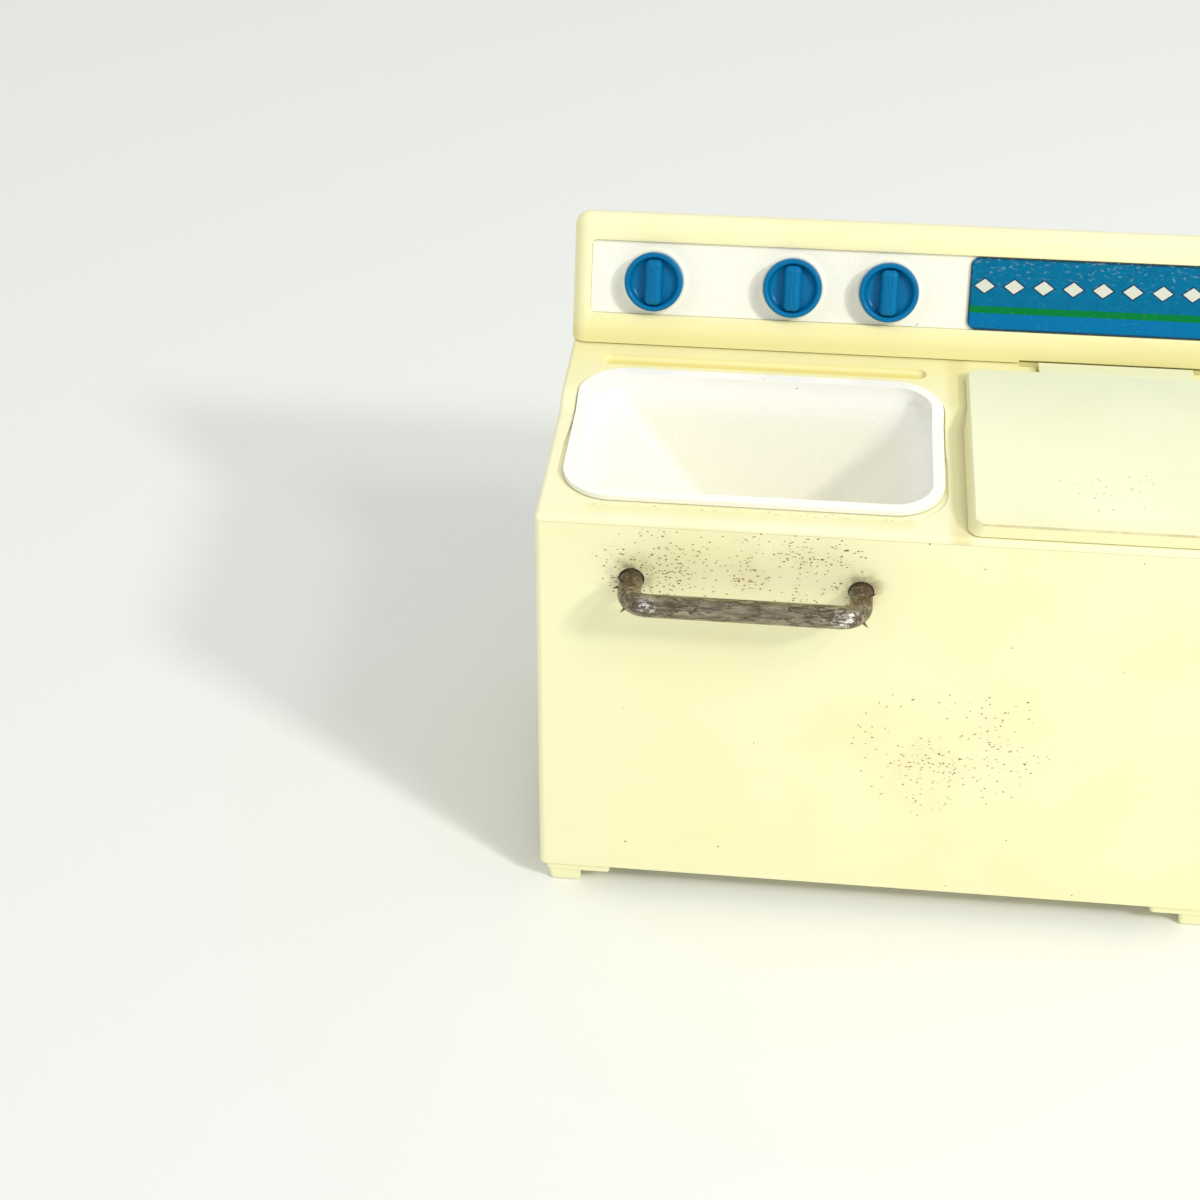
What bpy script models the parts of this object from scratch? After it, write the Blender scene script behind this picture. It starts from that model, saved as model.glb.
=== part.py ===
"""Toy washing machine: a doll's-house twin unit with a sink and a lidded wash tub.

Metres, +Z up, +Y to the back. The origin is at the middle of the model's footprint, on the
surface that it stands on. Every outline is worked out from the named sizes below.
"""
import bmesh
import bpy
from math import cos, pi, radians, sin
from mathutils import Matrix, Vector

# Clearances
FIT_GAP = 0.00025
RUN_GAP = 0.0003
SEAM_GAP = 0.00015
LABEL_GAP = 0.0001
PIN_GAP = 0.0002
CUT_OVERRUN = 0.001

# Cabinet shell
CABINET_WIDTH = 0.104
CABINET_DEPTH = 0.056
CABINET_HEIGHT = 0.0663
CABINET_FLARE = 0.0011
CABINET_WALL = 0.0014
CABINET_CORNER = 0.0010
CABINET_HEM = 0.0008
BOSS_RADIUS = 0.0023
BOSS_HEIGHT = 0.0120
BOSS_END_MARGIN = 0.0160
BOSS_WALL_MARGIN = 0.0042

# Base plate and feet
FOOT_HEIGHT = 0.0045
FOOT_FRONT_INSET = 0.0005
FOOT_SIDE_INSET = 0.0010
FLANGE_HEIGHT = 0.0019
FLANGE_LENGTH = 0.0101
FLANGE_DEPTH = 0.0086
STUB_LENGTH = 0.0057
STUB_DEPTH = 0.0057
STUB_TAPER = 0.0005
FOOT_ROUND = 0.0006
BASE_THICKNESS = 0.0016
BASE_LIFT = 0.0005
HEAD_SINK = 0.0006

# Screws
SCREW_HEAD_RADIUS = 0.0016
SCREW_HEAD_HEIGHT = 0.0011
SCREW_SHANK_RADIUS = 0.0008
SCREW_LENGTH = 0.0080
SHORT_SCREW_LENGTH = 0.0042
SCREW_TIP = 0.0009
SCREW_SLOT_WIDTH = 0.0004
SCREW_SLOT_DEPTH = 0.0005
SCREW_SLOT_SHARE = 0.6
PILOT_RADIUS = SCREW_SHANK_RADIUS + PIN_GAP
PILOT_SPARE = 0.0010

# Top deck
DECK_STRIP = 0.0011
SHELF_RISE = 0.0015
SHELF_DEPTH = 0.0132
SHELF_SLOPE = 0.0040
DECK_ROUND = 0.0007
DECK_BACKING = 0.0009
SKIRT_DEPTH = 0.0030
SKIRT_WALL = 0.0011
GROOVE_LEFT_MARGIN = 0.0052
GROOVE_RIGHT_INSET = 0.0024
GROOVE_WIDTH = 0.0029
GROOVE_DEPTH = 0.0007
GROOVE_REAR_MARGIN = 0.0028
GROOVE_END_SHARE = 0.49
GROOVE_SHOULDER_SHARE = 0.6

# Sink basin
SINK_SIDE_MARGIN = 0.0026
SINK_FRONT_MARGIN = 0.0050
SINK_REAR_MARGIN = 0.0073
RIM_BAND = 0.0017
RIM_THICKNESS = 0.0006
RIM_PROUD = 0.00025
RIM_ROUND = 0.0003
RIM_CORNER = 0.0074
RIM_SKIRT = 0.0004
MOAT_LEFT = 0.0007
MOAT_RIGHT = 0.0004
MOAT_FRONT = 0.0016
MOAT_SINK = 0.0005
BOWL_DEPTH = 0.0220
BOWL_WALL = 0.0011
BOWL_CORNER = 0.0024
BOWL_FILLET = 0.0010
BOWL_FLOOR_WIDTH = 0.0111
BOWL_REAR_LEAN = 0.30
BOWL_FRONT_LEAN = 0.06

# Backsplash frame and its rear cover
SPLASH_TILT = radians(24.0)
SPLASH_RISE = 0.0202
SPLASH_TOP_DEPTH = 0.0036
SPLASH_OVERHANG = 0.0003
SPLASH_ROUND = 0.0022
SPLASH_FRONT_WALL = 0.0026
SPLASH_WALL = 0.0014
COVER_THICKNESS = 0.0014
COVER_CORNER = 0.0010
COVER_BOSS_SHARES = (0.20, 0.80)
COVER_BOSS_LIFT_SHARE = 0.40
FRAME_BOSS_HEIGHT = 0.0060

# Control panel and its label
PANEL_SIDE_MARGIN = 0.0025
PANEL_FOOT_MARGIN = 0.00485
PANEL_HEIGHT = 0.01105
PANEL_CORNER = 0.0008
PANEL_THICKNESS = 0.0009
PANEL_RECESS = 0.0008
LABEL_LENGTH = 0.0409
LABEL_THICKNESS = 0.0003
LABEL_END_MARGIN = 0.0006

# Knobs
KNOB_PLACE_SHARES = (0.170, 0.537, 0.790)
KNOB_LIFT_SHARE = 0.465
KNOB_RADIUS = 0.0045
KNOB_HEIGHT = 0.0019
KNOB_RIM = 0.0009
KNOB_DISH = 0.0012
KNOB_EDGE = 0.0003
KNOB_GRIP_WIDTH = 0.0022
KNOB_GRIP_RISE = 0.0005
KNOB_GRIP_SHARE = 0.94
KNOB_SHAFT_RADIUS = 0.0012
KNOB_STAND = 0.0001
BOSS_RING_RADIUS = 0.0049
BOSS_RING_BAND = 0.0017
BOSS_RING_HEIGHT = 0.00045
RETAINER_RADIUS = 0.0025
RETAINER_THICKNESS = 0.0006

# Washer lid and its hinge
LID_WIDTH = 0.0424
LID_SINK_GAP = 0.0029
LID_RIGHT_MARGIN = 0.0020
LID_FRONT_MARGIN = 0.0004
LID_REAR_GAP = 0.0039
LID_RISE = 0.0030
LID_WALL = 0.0012
LID_CORNER = 0.0018
LID_ROUND = 0.0009
LID_BROW_RUN = 0.0034
LID_BROW_DROP = 0.0008
LID_BROW_FOLD = 0.0003
HINGE_SETBACK = 0.0019
HINGE_DROP = 0.0009
TAB_WIDTH = 0.0228
TAB_SHIFT = 0.0016
TAB_RISE = 0.0019
TAB_REACH = 0.0014
TAB_ROUND = 0.0005
KNUCKLE_RADIUS = 0.0008
PIN_RADIUS = 0.0005
PIN_SEAT = 0.0013
SLOT_MARGIN = 0.0028
SLOT_REAR = 0.0007
NOTCH_HEIGHT = 0.0006

# Wash tub, agitator and axle
TUB_MARGIN = 0.0015
TUB_LIP_WIDTH = 0.0022
TUB_LIP_THICKNESS = 0.0008
TUB_DEPTH = 0.0360
TUB_WALL = 0.0011
TUB_DRAFT = 0.0012
TUB_FILLET = 0.0020
TUB_BOSS_RADIUS = 0.0026
TUB_BOSS_HEIGHT = 0.0030
AGITATOR_RADIUS_SHARE = 0.827
AGITATOR_DISC = 0.0014
AGITATOR_HUB_RADIUS = 0.0034
AGITATOR_HUB_TOP_RADIUS = 0.0020
AGITATOR_HUB_HEIGHT = 0.0125
AGITATOR_CROWN_SHARES = ((0.7, 0.167), (0.3, 0.0))
AGITATOR_VANE_HEIGHT = 0.0050
AGITATOR_VANE_WIDTH = 0.0014
VANE_COUNT = 4
VANE_TOP_SHARE = 0.6
AXLE_RADIUS = 0.0010
AXLE_TAIL = 0.0018
CLIP_RADIUS = 0.0024
CLIP_THICKNESS = 0.0006

# Towel rail
RAIL_RADIUS = 0.00165
RAIL_REACH = 0.0060
RAIL_BEND = 0.0027
RAIL_SPAN = 0.0322
RAIL_LEFT_MARGIN = 0.0136
RAIL_DROP = 0.0090
RAIL_PEG = 0.0010

# Facets
CORNER_STEPS = 4
ROUND_STEPS = 3
RIM_CORNER_STEPS = 7
ROUND_SIDES = 32
TUB_SIDES = 48
SMALL_SIDES = 16
RAIL_RESOLUTION = 5
SMOOTH_ANGLE = radians(35.0)

# Levels and planes that the pieces share
LEFT = -CABINET_WIDTH / 2
RIGHT = CABINET_WIDTH / 2
FRONT = (RAIL_REACH + RAIL_RADIUS - CABINET_DEPTH) / 2
REAR = FRONT + CABINET_DEPTH
HEM_Z = FOOT_HEIGHT
SEAM_Z = HEM_Z + CABINET_HEIGHT
DECK_Z = SEAM_Z + DECK_STRIP
SHELF_Z = DECK_Z + SHELF_RISE
DECK_LOW_Z = SEAM_Z - DECK_BACKING
BASE_Z = HEM_Z + BASE_LIFT
BOSS_Z = BASE_Z + BASE_THICKNESS + FIT_GAP
SPLASH_Y = REAR - SPLASH_TOP_DEPTH - SPLASH_RISE * sin(SPLASH_TILT)
SLOPE_Y = SPLASH_Y - SHELF_DEPTH - SHELF_SLOPE
HINGE_Y = SPLASH_Y - HINGE_SETBACK
HINGE_Z = SHELF_Z - HINGE_DROP

# Plan of the deck, sink, lid and tub
TOP_PLAN = (LEFT, RIGHT, FRONT, REAR, CABINET_CORNER)
SINK_LEFT = LEFT + SINK_SIDE_MARGIN
LID_RIGHT = RIGHT - LID_RIGHT_MARGIN
LID_LEFT = LID_RIGHT - LID_WIDTH
SINK_RIGHT = LID_LEFT - LID_SINK_GAP
SINK_FRONT = FRONT + SINK_FRONT_MARGIN
SINK_BACK = SPLASH_Y - SINK_REAR_MARGIN
RIM_TOP_Z = DECK_Z + RIM_PROUD
RIM_BASE_Z = RIM_TOP_Z - RIM_THICKNESS
LID_FRONT = FRONT + LID_FRONT_MARGIN
LID_BACK = SPLASH_Y - LID_REAR_GAP
LID_TOP_Z = DECK_Z + LID_RISE
TUB_X = (LID_LEFT + LID_RIGHT) / 2
TUB_Y = (LID_FRONT + LID_BACK) / 2
LID_ROOM = min(LID_RIGHT - LID_LEFT, LID_BACK - LID_FRONT) / 2 - LID_WALL
TUB_LIP_RADIUS = LID_ROOM - TUB_MARGIN
TUB_RADIUS = TUB_LIP_RADIUS - TUB_LIP_WIDTH
TUB_TOP_Z = DECK_Z + FIT_GAP + TUB_LIP_THICKNESS
TUB_FLOOR_Z = TUB_TOP_Z - TUB_DEPTH
AGITATOR_Z = TUB_FLOOR_Z + TUB_BOSS_HEIGHT + RUN_GAP
TAB_X = TUB_X + TAB_SHIFT

# Backsplash frame: X along it, Y up its face, Z out of its face
SPLASH_FRAME = Matrix.Translation((0, SPLASH_Y, SHELF_Z)) @ Matrix((
    (1, 0, 0, 0),
    (0, sin(SPLASH_TILT), -cos(SPLASH_TILT), 0),
    (0, cos(SPLASH_TILT), sin(SPLASH_TILT), 0),
    (0, 0, 0, 1),
))
SPLASH_LEAN = sin(SPLASH_TILT) / cos(SPLASH_TILT)
SPLASH_FOOT_Z = SHELF_Z + FIT_GAP
SPLASH_BROW = SPLASH_FRAME @ Vector((0, SPLASH_RISE, 0))
SPLASH_REAR_Z = SPLASH_BROW.z - (REAR - SPLASH_BROW.y) * SPLASH_LEAN
SPLASH_LEFT = LEFT - SPLASH_OVERHANG
SPLASH_RIGHT = RIGHT + SPLASH_OVERHANG
POCKET_LEFT = LEFT + PANEL_SIDE_MARGIN
POCKET_RIGHT = RIGHT - PANEL_SIDE_MARGIN
POCKET_TOP = PANEL_FOOT_MARGIN + PANEL_HEIGHT
POCKET_FLOOR = -(PANEL_RECESS + PANEL_THICKNESS + LABEL_GAP)
PANEL_FACE = -PANEL_RECESS
LABEL_RIGHT = POCKET_RIGHT - LABEL_END_MARGIN
LABEL_LEFT = LABEL_RIGHT - LABEL_LENGTH
KNOB_LIFT = PANEL_FOOT_MARGIN + KNOB_LIFT_SHARE * PANEL_HEIGHT
KNOB_BACK = PANEL_FACE + BOSS_RING_HEIGHT + KNOB_STAND + PIN_GAP


def clear_scene():
    """Start from an empty scene."""
    for item in list(bpy.data.objects):
        bpy.data.objects.remove(item, do_unlink=True)


def plastic(name, colour, roughness, metallic=0.0):
    """A moulded or metal finish for one piece."""
    finish = bpy.data.materials.new(name)
    finish.use_nodes = True
    shader = finish.node_tree.nodes["Principled BSDF"]
    shader.inputs["Base Color"].default_value = (*colour, 1.0)
    shader.inputs["Roughness"].default_value = roughness
    shader.inputs["Metallic"].default_value = metallic
    finish.diffuse_color = (*colour, 1.0)
    return finish


def ivory(name):
    """Pale yellow styrene of the cabinet mouldings."""
    return plastic(name, (0.92, 0.88, 0.55), 0.42)


def white(name):
    """White styrene of the panel, basin and tub."""
    return plastic(name, (0.90, 0.90, 0.86), 0.35)


def steel(name):
    """Plated steel of the screws, axle and washers."""
    return plastic(name, (0.60, 0.60, 0.62), 0.35, 1.0)


def settle(name, bm):
    """Turn a closed bmesh into an object, faces outwards."""
    bmesh.ops.recalc_face_normals(bm, faces=bm.faces)
    mesh = bpy.data.meshes.new(name)
    bm.to_mesh(mesh)
    bm.free()
    mesh.shade_smooth()
    mesh.set_sharp_from_angle(angle=SMOOTH_ANGLE)
    item = bpy.data.objects.new(name, mesh)
    bpy.context.scene.collection.objects.link(item)
    return item


def piece(name, bm, finish, place=None):
    """Add one named piece of the machine."""
    item = settle(name, bm)
    item.data.materials.append(finish)
    if place is not None:
        item.matrix_world = place
    return item


def shape_with(target, operation, name, bm, place=None):
    """Cut a hidden helper solid from a piece, or join it on."""
    helper = settle(name, bm)
    helper.hide_render = True
    helper.display_type = "WIRE"
    if place is not None:
        helper.matrix_world = place
    step = target.modifiers.new(name, "BOOLEAN")
    step.operation = operation
    step.solver = "EXACT"
    step.use_self = True
    step.object = helper
    return step


def rounded(x_low, x_high, y_low, y_high, radius, steps=CORNER_STEPS):
    """Corner-rounded rectangle as (x, y) points, anticlockwise."""
    centres = (
        (x_high - radius, y_low + radius, -pi / 2),
        (x_high - radius, y_high - radius, 0),
        (x_low + radius, y_high - radius, pi / 2),
        (x_low + radius, y_low + radius, pi),
    )
    points = []
    for x, y, start in centres:
        for step in range(steps + 1):
            angle = start + pi / 2 * step / steps
            points.append((x + radius * cos(angle), y + radius * sin(angle)))
    return points


def inset(box, amount):
    """Draw a rectangle (x_low, x_high, y_low, y_high, radius) in all round."""
    x_low, x_high, y_low, y_high, radius = box
    least = radius / 4
    return (x_low + amount, x_high - amount, y_low + amount, y_high - amount, max(radius - amount, least))


def level(points, z):
    """Lift (x, y) points to a height."""
    return [(x, y, z) for x, y in points]


def circle(radius, z, sides, x=0.0, y=0.0):
    """Round ring of points about a vertical axis."""
    turns = [2 * pi * side / sides for side in range(sides)]
    return [(x + radius * cos(turn), y + radius * sin(turn), z) for turn in turns]


def skin(bm, rings, closed=False):
    """Bridge a run of equal rings; cap both ends unless the run closes on itself."""
    rows = [[bm.verts.new(point) for point in ring] for ring in rings]
    pairs = list(zip(rows, rows[1:]))
    if closed:
        pairs.append((rows[-1], rows[0]))
    for low, high in pairs:
        for index, corner in enumerate(low):
            following = (index + 1) % len(low)
            bm.faces.new((corner, low[following], high[following], high[index]))
    if not closed:
        bm.faces.new(list(reversed(rows[0])))
        bm.faces.new(rows[-1])
    return rows


def box_bar(bm, low, high):
    """Rectangular block between two corners."""
    centre = (Vector(low) + Vector(high)) / 2
    size = Vector(high) - Vector(low)
    return bmesh.ops.create_cube(bm, size=1.0, matrix=Matrix.LocRotScale(centre, None, size))


def rod(bm, start, end, radius, sides=SMALL_SIDES):
    """Round bar between two points."""
    start, end = Vector(start), Vector(end)
    run = end - start
    turn = run.to_track_quat("Z", "Y")
    place = Matrix.LocRotScale((start + end) / 2, turn, None)
    bmesh.ops.create_cone(bm, cap_ends=True, segments=sides, radius1=radius, radius2=radius,
                          depth=run.length, matrix=place)


def turned(bm, profile, sides, x=0.0, y=0.0):
    """Turn a profile of (radius, z) points about a vertical axis, both ends capped."""
    skin(bm, [circle(radius, z, sides, x, y) for radius, z in profile])


def turned_ring(bm, profile, sides, x=0.0, y=0.0):
    """Turn a closed profile that stays clear of its axis."""
    skin(bm, [circle(radius, z, sides, x, y) for radius, z in profile], closed=True)


def slab(bm, outline, z_low, z_high):
    """Plate of one outline between two heights."""
    skin(bm, [level(outline, z_low), level(outline, z_high)])


def side_profile(bm, points, x_low, x_high):
    """Extrude a (y, z) outline along X."""
    skin(bm, [[(x, y, z) for y, z in points] for x in (x_low, x_high)])


def edges_where(bm, test):
    """Edges whose two ends both pass a test."""
    return [edge for edge in bm.edges if all(test(vert.co) for vert in edge.verts)]


def corner_places(x_inset, y_inset):
    """The four corner points at the given insets, with their outward signs."""
    half_x = CABINET_WIDTH / 2 + CABINET_FLARE - x_inset
    middle_y = (FRONT + REAR) / 2
    half_y = CABINET_DEPTH / 2 - y_inset
    return [(side * half_x, middle_y + end * half_y, side, end) for side in (-1, 1) for end in (-1, 1)]


def base_screw_places():
    """X, Y and end sign of the four screws that come up through the base plate."""
    places = []
    for x in (LEFT + BOSS_END_MARGIN, RIGHT - BOSS_END_MARGIN):
        places.append((x, FRONT + BOSS_WALL_MARGIN, -1))
        places.append((x, REAR - BOSS_WALL_MARGIN, 1))
    return places


def cabinet_outline(share, shrink):
    """Cabinet plan at a share of its height, drawn in by shrink."""
    flare = CABINET_FLARE * (1 - share)
    box = (LEFT - flare, RIGHT + flare, FRONT, REAR, CABINET_CORNER)
    return rounded(*inset(box, shrink))


def build_cabinet_shell():
    """Four-walled tube, open at the top and bottom, with bosses for the base screws."""
    bm = bmesh.new()
    hem_share = CABINET_HEM / CABINET_HEIGHT
    rings = []
    for step in range(CORNER_STEPS):
        angle = pi / 2 * step / CORNER_STEPS
        lift = 1 - cos(angle)
        draw = CABINET_HEM * (1 - sin(angle))
        rings.append(level(cabinet_outline(hem_share * lift, draw), HEM_Z + CABINET_HEM * lift))
    rings.append(level(cabinet_outline(hem_share, 0), HEM_Z + CABINET_HEM))
    rings.append(level(cabinet_outline(1, 0), SEAM_Z))
    rings.append(level(cabinet_outline(1, CABINET_WALL), SEAM_Z))
    rings.append(level(cabinet_outline(0, CABINET_WALL), HEM_Z))
    skin(bm, rings, closed=True)
    shell = piece("cabinet_shell", bm, ivory("ivory_cabinet"))

    bosses = bmesh.new()
    boss_top = BOSS_Z + BOSS_HEIGHT
    web = CABINET_WALL / 2
    for x, y, end in base_screw_places():
        wall_y = (FRONT if end < 0 else REAR) - end * web
        rod(bosses, (x, y, BOSS_Z), (x, y, boss_top), BOSS_RADIUS)
        box_bar(bosses, (x - web, min(y, wall_y), BOSS_Z), (x + web, max(y, wall_y), boss_top - web))
    shape_with(shell, "UNION", "cabinet_bosses", bosses)

    holes = bmesh.new()
    for x, y, _ in base_screw_places():
        rod(holes, (x, y, BOSS_Z - CUT_OVERRUN), (x, y, BASE_Z + SCREW_LENGTH + PILOT_SPARE), PILOT_RADIUS)
    for x in rail_posts():
        rail_z = SEAM_Z - RAIL_DROP
        rod(holes, (x, FRONT - CUT_OVERRUN, rail_z), (x, FRONT + CABINET_WALL + CUT_OVERRUN, rail_z),
            RAIL_RADIUS + PIN_GAP, ROUND_SIDES // 2)
    shape_with(shell, "DIFFERENCE", "cabinet_holes", holes)


def rail_posts():
    """X of the towel rail's two posts."""
    first = LEFT + RAIL_LEFT_MARGIN
    return (first, first + RAIL_SPAN)


def build_base_plate():
    """Floor plate with a stepped foot moulded under each corner."""
    bm = bmesh.new()
    edge = CABINET_WALL + FIT_GAP
    plate_box = inset((LEFT - CABINET_FLARE, RIGHT + CABINET_FLARE, FRONT, REAR, CABINET_CORNER), edge)
    slab(bm, rounded(*inset(plate_box, FIT_GAP)), BASE_Z, BASE_Z + BASE_THICKNESS)
    plate = piece("base_plate", bm, ivory("ivory_base"))

    feet = bmesh.new()
    for x, y, side, end in corner_places(FOOT_SIDE_INSET, FOOT_FRONT_INSET):
        flange = foot_box(x, y, side, end, FLANGE_LENGTH, FLANGE_DEPTH)
        stub = foot_box(x, y, side, end, STUB_LENGTH, STUB_DEPTH)
        neck = foot_box(x, y, side, end, STUB_LENGTH - FIT_GAP, STUB_DEPTH - FIT_GAP, edge + 2 * FIT_GAP)
        flange_top = HEM_Z - FIT_GAP
        flange_low = flange_top - FLANGE_HEIGHT + FIT_GAP
        skin(feet, [level(rounded(*inset(flange, FOOT_ROUND)), flange_low),
                    level(rounded(*flange), flange_low + FOOT_ROUND),
                    level(rounded(*flange), flange_top)])
        skin(feet, [level(rounded(*inset(stub, STUB_TAPER + FOOT_ROUND)), 0),
                    level(rounded(*inset(stub, STUB_TAPER)), FOOT_ROUND),
                    level(rounded(*inset(stub, FIT_GAP / 2)), flange_top - FIT_GAP)])
        slab(feet, rounded(*neck), flange_top - FLANGE_HEIGHT / 2, BASE_Z + BASE_THICKNESS / 2)
    shape_with(plate, "UNION", "feet", feet)

    holes = bmesh.new()
    for x, y, _ in base_screw_places():
        turned(holes, [
            (SCREW_HEAD_RADIUS + PIN_GAP, BASE_Z - CUT_OVERRUN),
            (SCREW_HEAD_RADIUS + PIN_GAP, BASE_Z + HEAD_SINK),
            (PILOT_RADIUS, BASE_Z + HEAD_SINK),
            (PILOT_RADIUS, BASE_Z + BASE_THICKNESS + CUT_OVERRUN),
        ], SMALL_SIDES, x, y)
    shape_with(plate, "DIFFERENCE", "base_screw_holes", holes)


def foot_box(x, y, side, end, length, depth, draw=0.0):
    """Rectangle of a foot that starts at a corner point and runs inwards."""
    half_x = CABINET_WIDTH / 2 + CABINET_FLARE - draw
    half_y = CABINET_DEPTH / 2 - draw
    middle_y = (FRONT + REAR) / 2
    near_x = side * min(abs(x), half_x)
    near_y = middle_y + end * min(abs(y - middle_y), half_y)
    far_x = x - side * length
    far_y = y - end * depth
    return (min(near_x, far_x), max(near_x, far_x), min(near_y, far_y), max(near_y, far_y), FOOT_ROUND)


def build_screw(name, length, place):
    """Pan-head screw: head below, shank up the Z axis, cross slot in the head."""
    bm = bmesh.new()
    edge = SCREW_HEAD_HEIGHT / 3
    turned(bm, [
        (SCREW_HEAD_RADIUS - edge, -SCREW_HEAD_HEIGHT),
        (SCREW_HEAD_RADIUS, -SCREW_HEAD_HEIGHT + edge),
        (SCREW_HEAD_RADIUS, 0),
        (SCREW_SHANK_RADIUS, 0),
        (SCREW_SHANK_RADIUS, length - SCREW_TIP),
        (SCREW_SHANK_RADIUS / 4, length),
    ], SMALL_SIDES)
    screw = piece(name, bm, steel("steel_" + name), place)
    slot = bmesh.new()
    arm = SCREW_HEAD_RADIUS * SCREW_SLOT_SHARE
    half = SCREW_SLOT_WIDTH / 2
    cross = [(arm, -half), (arm, half), (half, half), (half, arm), (-half, arm), (-half, half),
             (-arm, half), (-arm, -half), (-half, -half), (-half, -arm), (half, -arm), (half, -half)]
    slab(slot, cross, -SCREW_HEAD_HEIGHT - CUT_OVERRUN, -SCREW_HEAD_HEIGHT + SCREW_SLOT_DEPTH)
    shape_with(screw, "DIFFERENCE", name + "_slot", slot, place)


def build_base_screws():
    """Four screws, up through the feet into the cabinet's bosses."""
    corners = ("front_left", "rear_left", "front_right", "rear_right")
    seat = BASE_Z + HEAD_SINK - PIN_GAP
    for corner, (x, y, _) in zip(corners, base_screw_places()):
        build_screw("base_screw_" + corner, SCREW_LENGTH, Matrix.Translation((x, y, seat)))


def rim_box():
    """Plan of the basin's rim."""
    return (SINK_LEFT, SINK_RIGHT, SINK_FRONT, SINK_BACK, RIM_CORNER)


def rim_outline(box):
    """Rounded outline with an extra point on each side where the deck starts to rise."""
    points = rounded(*box, RIM_CORNER_STEPS)
    count = RIM_CORNER_STEPS + 1
    right = points[:count] + [(box[1], SLOPE_Y)] + points[count:2 * count]
    return right + points[2 * count:3 * count] + [(box[0], SLOPE_Y)] + points[3 * count:]


def stepped(points, z):
    """Lift an outline to a height and let it follow the step in the deck."""
    return [(x, y, z + SHELF_RISE * min(max((y - SLOPE_Y) / SHELF_SLOPE, 0), 1)) for x, y in points]


def crease(bm, row):
    """Split a stepped cap across the machine, so that each part of it is flat."""
    for offset in range(3):
        right = RIM_CORNER_STEPS + 1 + offset
        bmesh.ops.connect_verts(bm, verts=[row[right], row[len(row) - RIM_CORNER_STEPS - 2 - offset]])


def build_top_deck():
    """Deck moulding: level in front, raised rear shelf, openings, groove and hinge slot."""
    deck = deck_blank()
    add_deck_skirt(deck)
    cut_sink_seat(deck)
    cut_tub_well(deck)
    cut_soap_groove(deck)
    cut_hinge_slot(deck)
    screws = bmesh.new()
    for x, y in frame_screw_places():
        rod(screws, (x, y, DECK_LOW_Z - CUT_OVERRUN), (x, y, SHELF_Z + CUT_OVERRUN), PILOT_RADIUS)
    shape_with(deck, "DIFFERENCE", "deck_screw_holes", screws)


def deck_blank():
    """Deck with its step and rounded outer edges, before anything is cut in it."""
    bm = bmesh.new()
    deck_low = SEAM_Z + SEAM_GAP
    side_profile(bm, [
        (FRONT, deck_low), (REAR, deck_low), (REAR, SHELF_Z),
        (SLOPE_Y + SHELF_SLOPE, SHELF_Z), (SLOPE_Y, DECK_Z), (FRONT, DECK_Z),
    ], LEFT, RIGHT)
    tolerance = SEAM_GAP / 3
    sides = edges_where(bm, lambda co: co.z > deck_low + tolerance and abs(abs(co.x) - RIGHT) < tolerance)
    ends = edges_where(bm, lambda co: co.y < FRONT + tolerance or co.y > REAR - tolerance)
    ends = [edge for edge in ends if max(vert.co.z for vert in edge.verts) > deck_low + tolerance]
    bmesh.ops.bevel(bm, geom=list(set(sides + ends)), offset=DECK_ROUND, offset_type="OFFSET",
                    segments=ROUND_STEPS, profile=0.5, affect="EDGES", clamp_overlap=True)
    return piece("top_deck", bm, ivory("ivory_deck"))


def add_deck_skirt(deck):
    """Backing plate and skirt that push into the cabinet's top."""
    extra = bmesh.new()
    outer = rounded(*inset(TOP_PLAN, CABINET_WALL + FIT_GAP))
    inner = rounded(*inset(TOP_PLAN, CABINET_WALL + FIT_GAP + SKIRT_WALL))
    root_z = SEAM_Z + SEAM_GAP + DECK_STRIP / 2
    skin(extra, [level(outer, SEAM_Z - SKIRT_DEPTH), level(outer, root_z),
                 level(inner, root_z), level(inner, SEAM_Z - SKIRT_DEPTH)], closed=True)
    backing = rounded(*inset(TOP_PLAN, CABINET_WALL + FIT_GAP * 2))
    slab(extra, backing, DECK_LOW_Z, root_z - FIT_GAP / 2)
    shape_with(deck, "UNION", "deck_skirt", extra)


def cut_sink_seat(deck):
    """Stepped seat for the basin's rim, the moat before it and the mouth under it."""
    seat = bmesh.new()
    seat_outline = rim_outline(inset(rim_box(), -FIT_GAP))
    levels = (DECK_Z - MOAT_SINK, DECK_Z + CUT_OVERRUN)
    rows = skin(seat, [stepped(seat_outline, z) for z in levels])
    crease(seat, rows[0])
    crease(seat, rows[-1])
    shape_with(deck, "DIFFERENCE", "rim_seat", seat)

    moat = bmesh.new()
    moat_box = (SINK_LEFT - MOAT_LEFT, SINK_RIGHT + MOAT_RIGHT, SINK_FRONT - MOAT_FRONT,
                SLOPE_Y + RIM_CORNER, RIM_CORNER)
    corners = rounded(*moat_box, RIM_CORNER_STEPS)
    count = RIM_CORNER_STEPS + 1
    outline = corners[:count] + [(moat_box[1], SLOPE_Y), (moat_box[0], SLOPE_Y)] + corners[-count:]
    slab(moat, outline, DECK_Z - MOAT_SINK + SEAM_GAP / 3, DECK_Z + CUT_OVERRUN)
    shape_with(deck, "DIFFERENCE", "rim_moat", moat)

    holes = bmesh.new()
    mouth = inset(bowl_box(0, BOWL_WALL), -FIT_GAP)
    slab(holes, rounded(*mouth, RIM_CORNER_STEPS), DECK_LOW_Z - CUT_OVERRUN, SHELF_Z + CUT_OVERRUN)
    shape_with(deck, "DIFFERENCE", "sink_mouth", holes)


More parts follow.
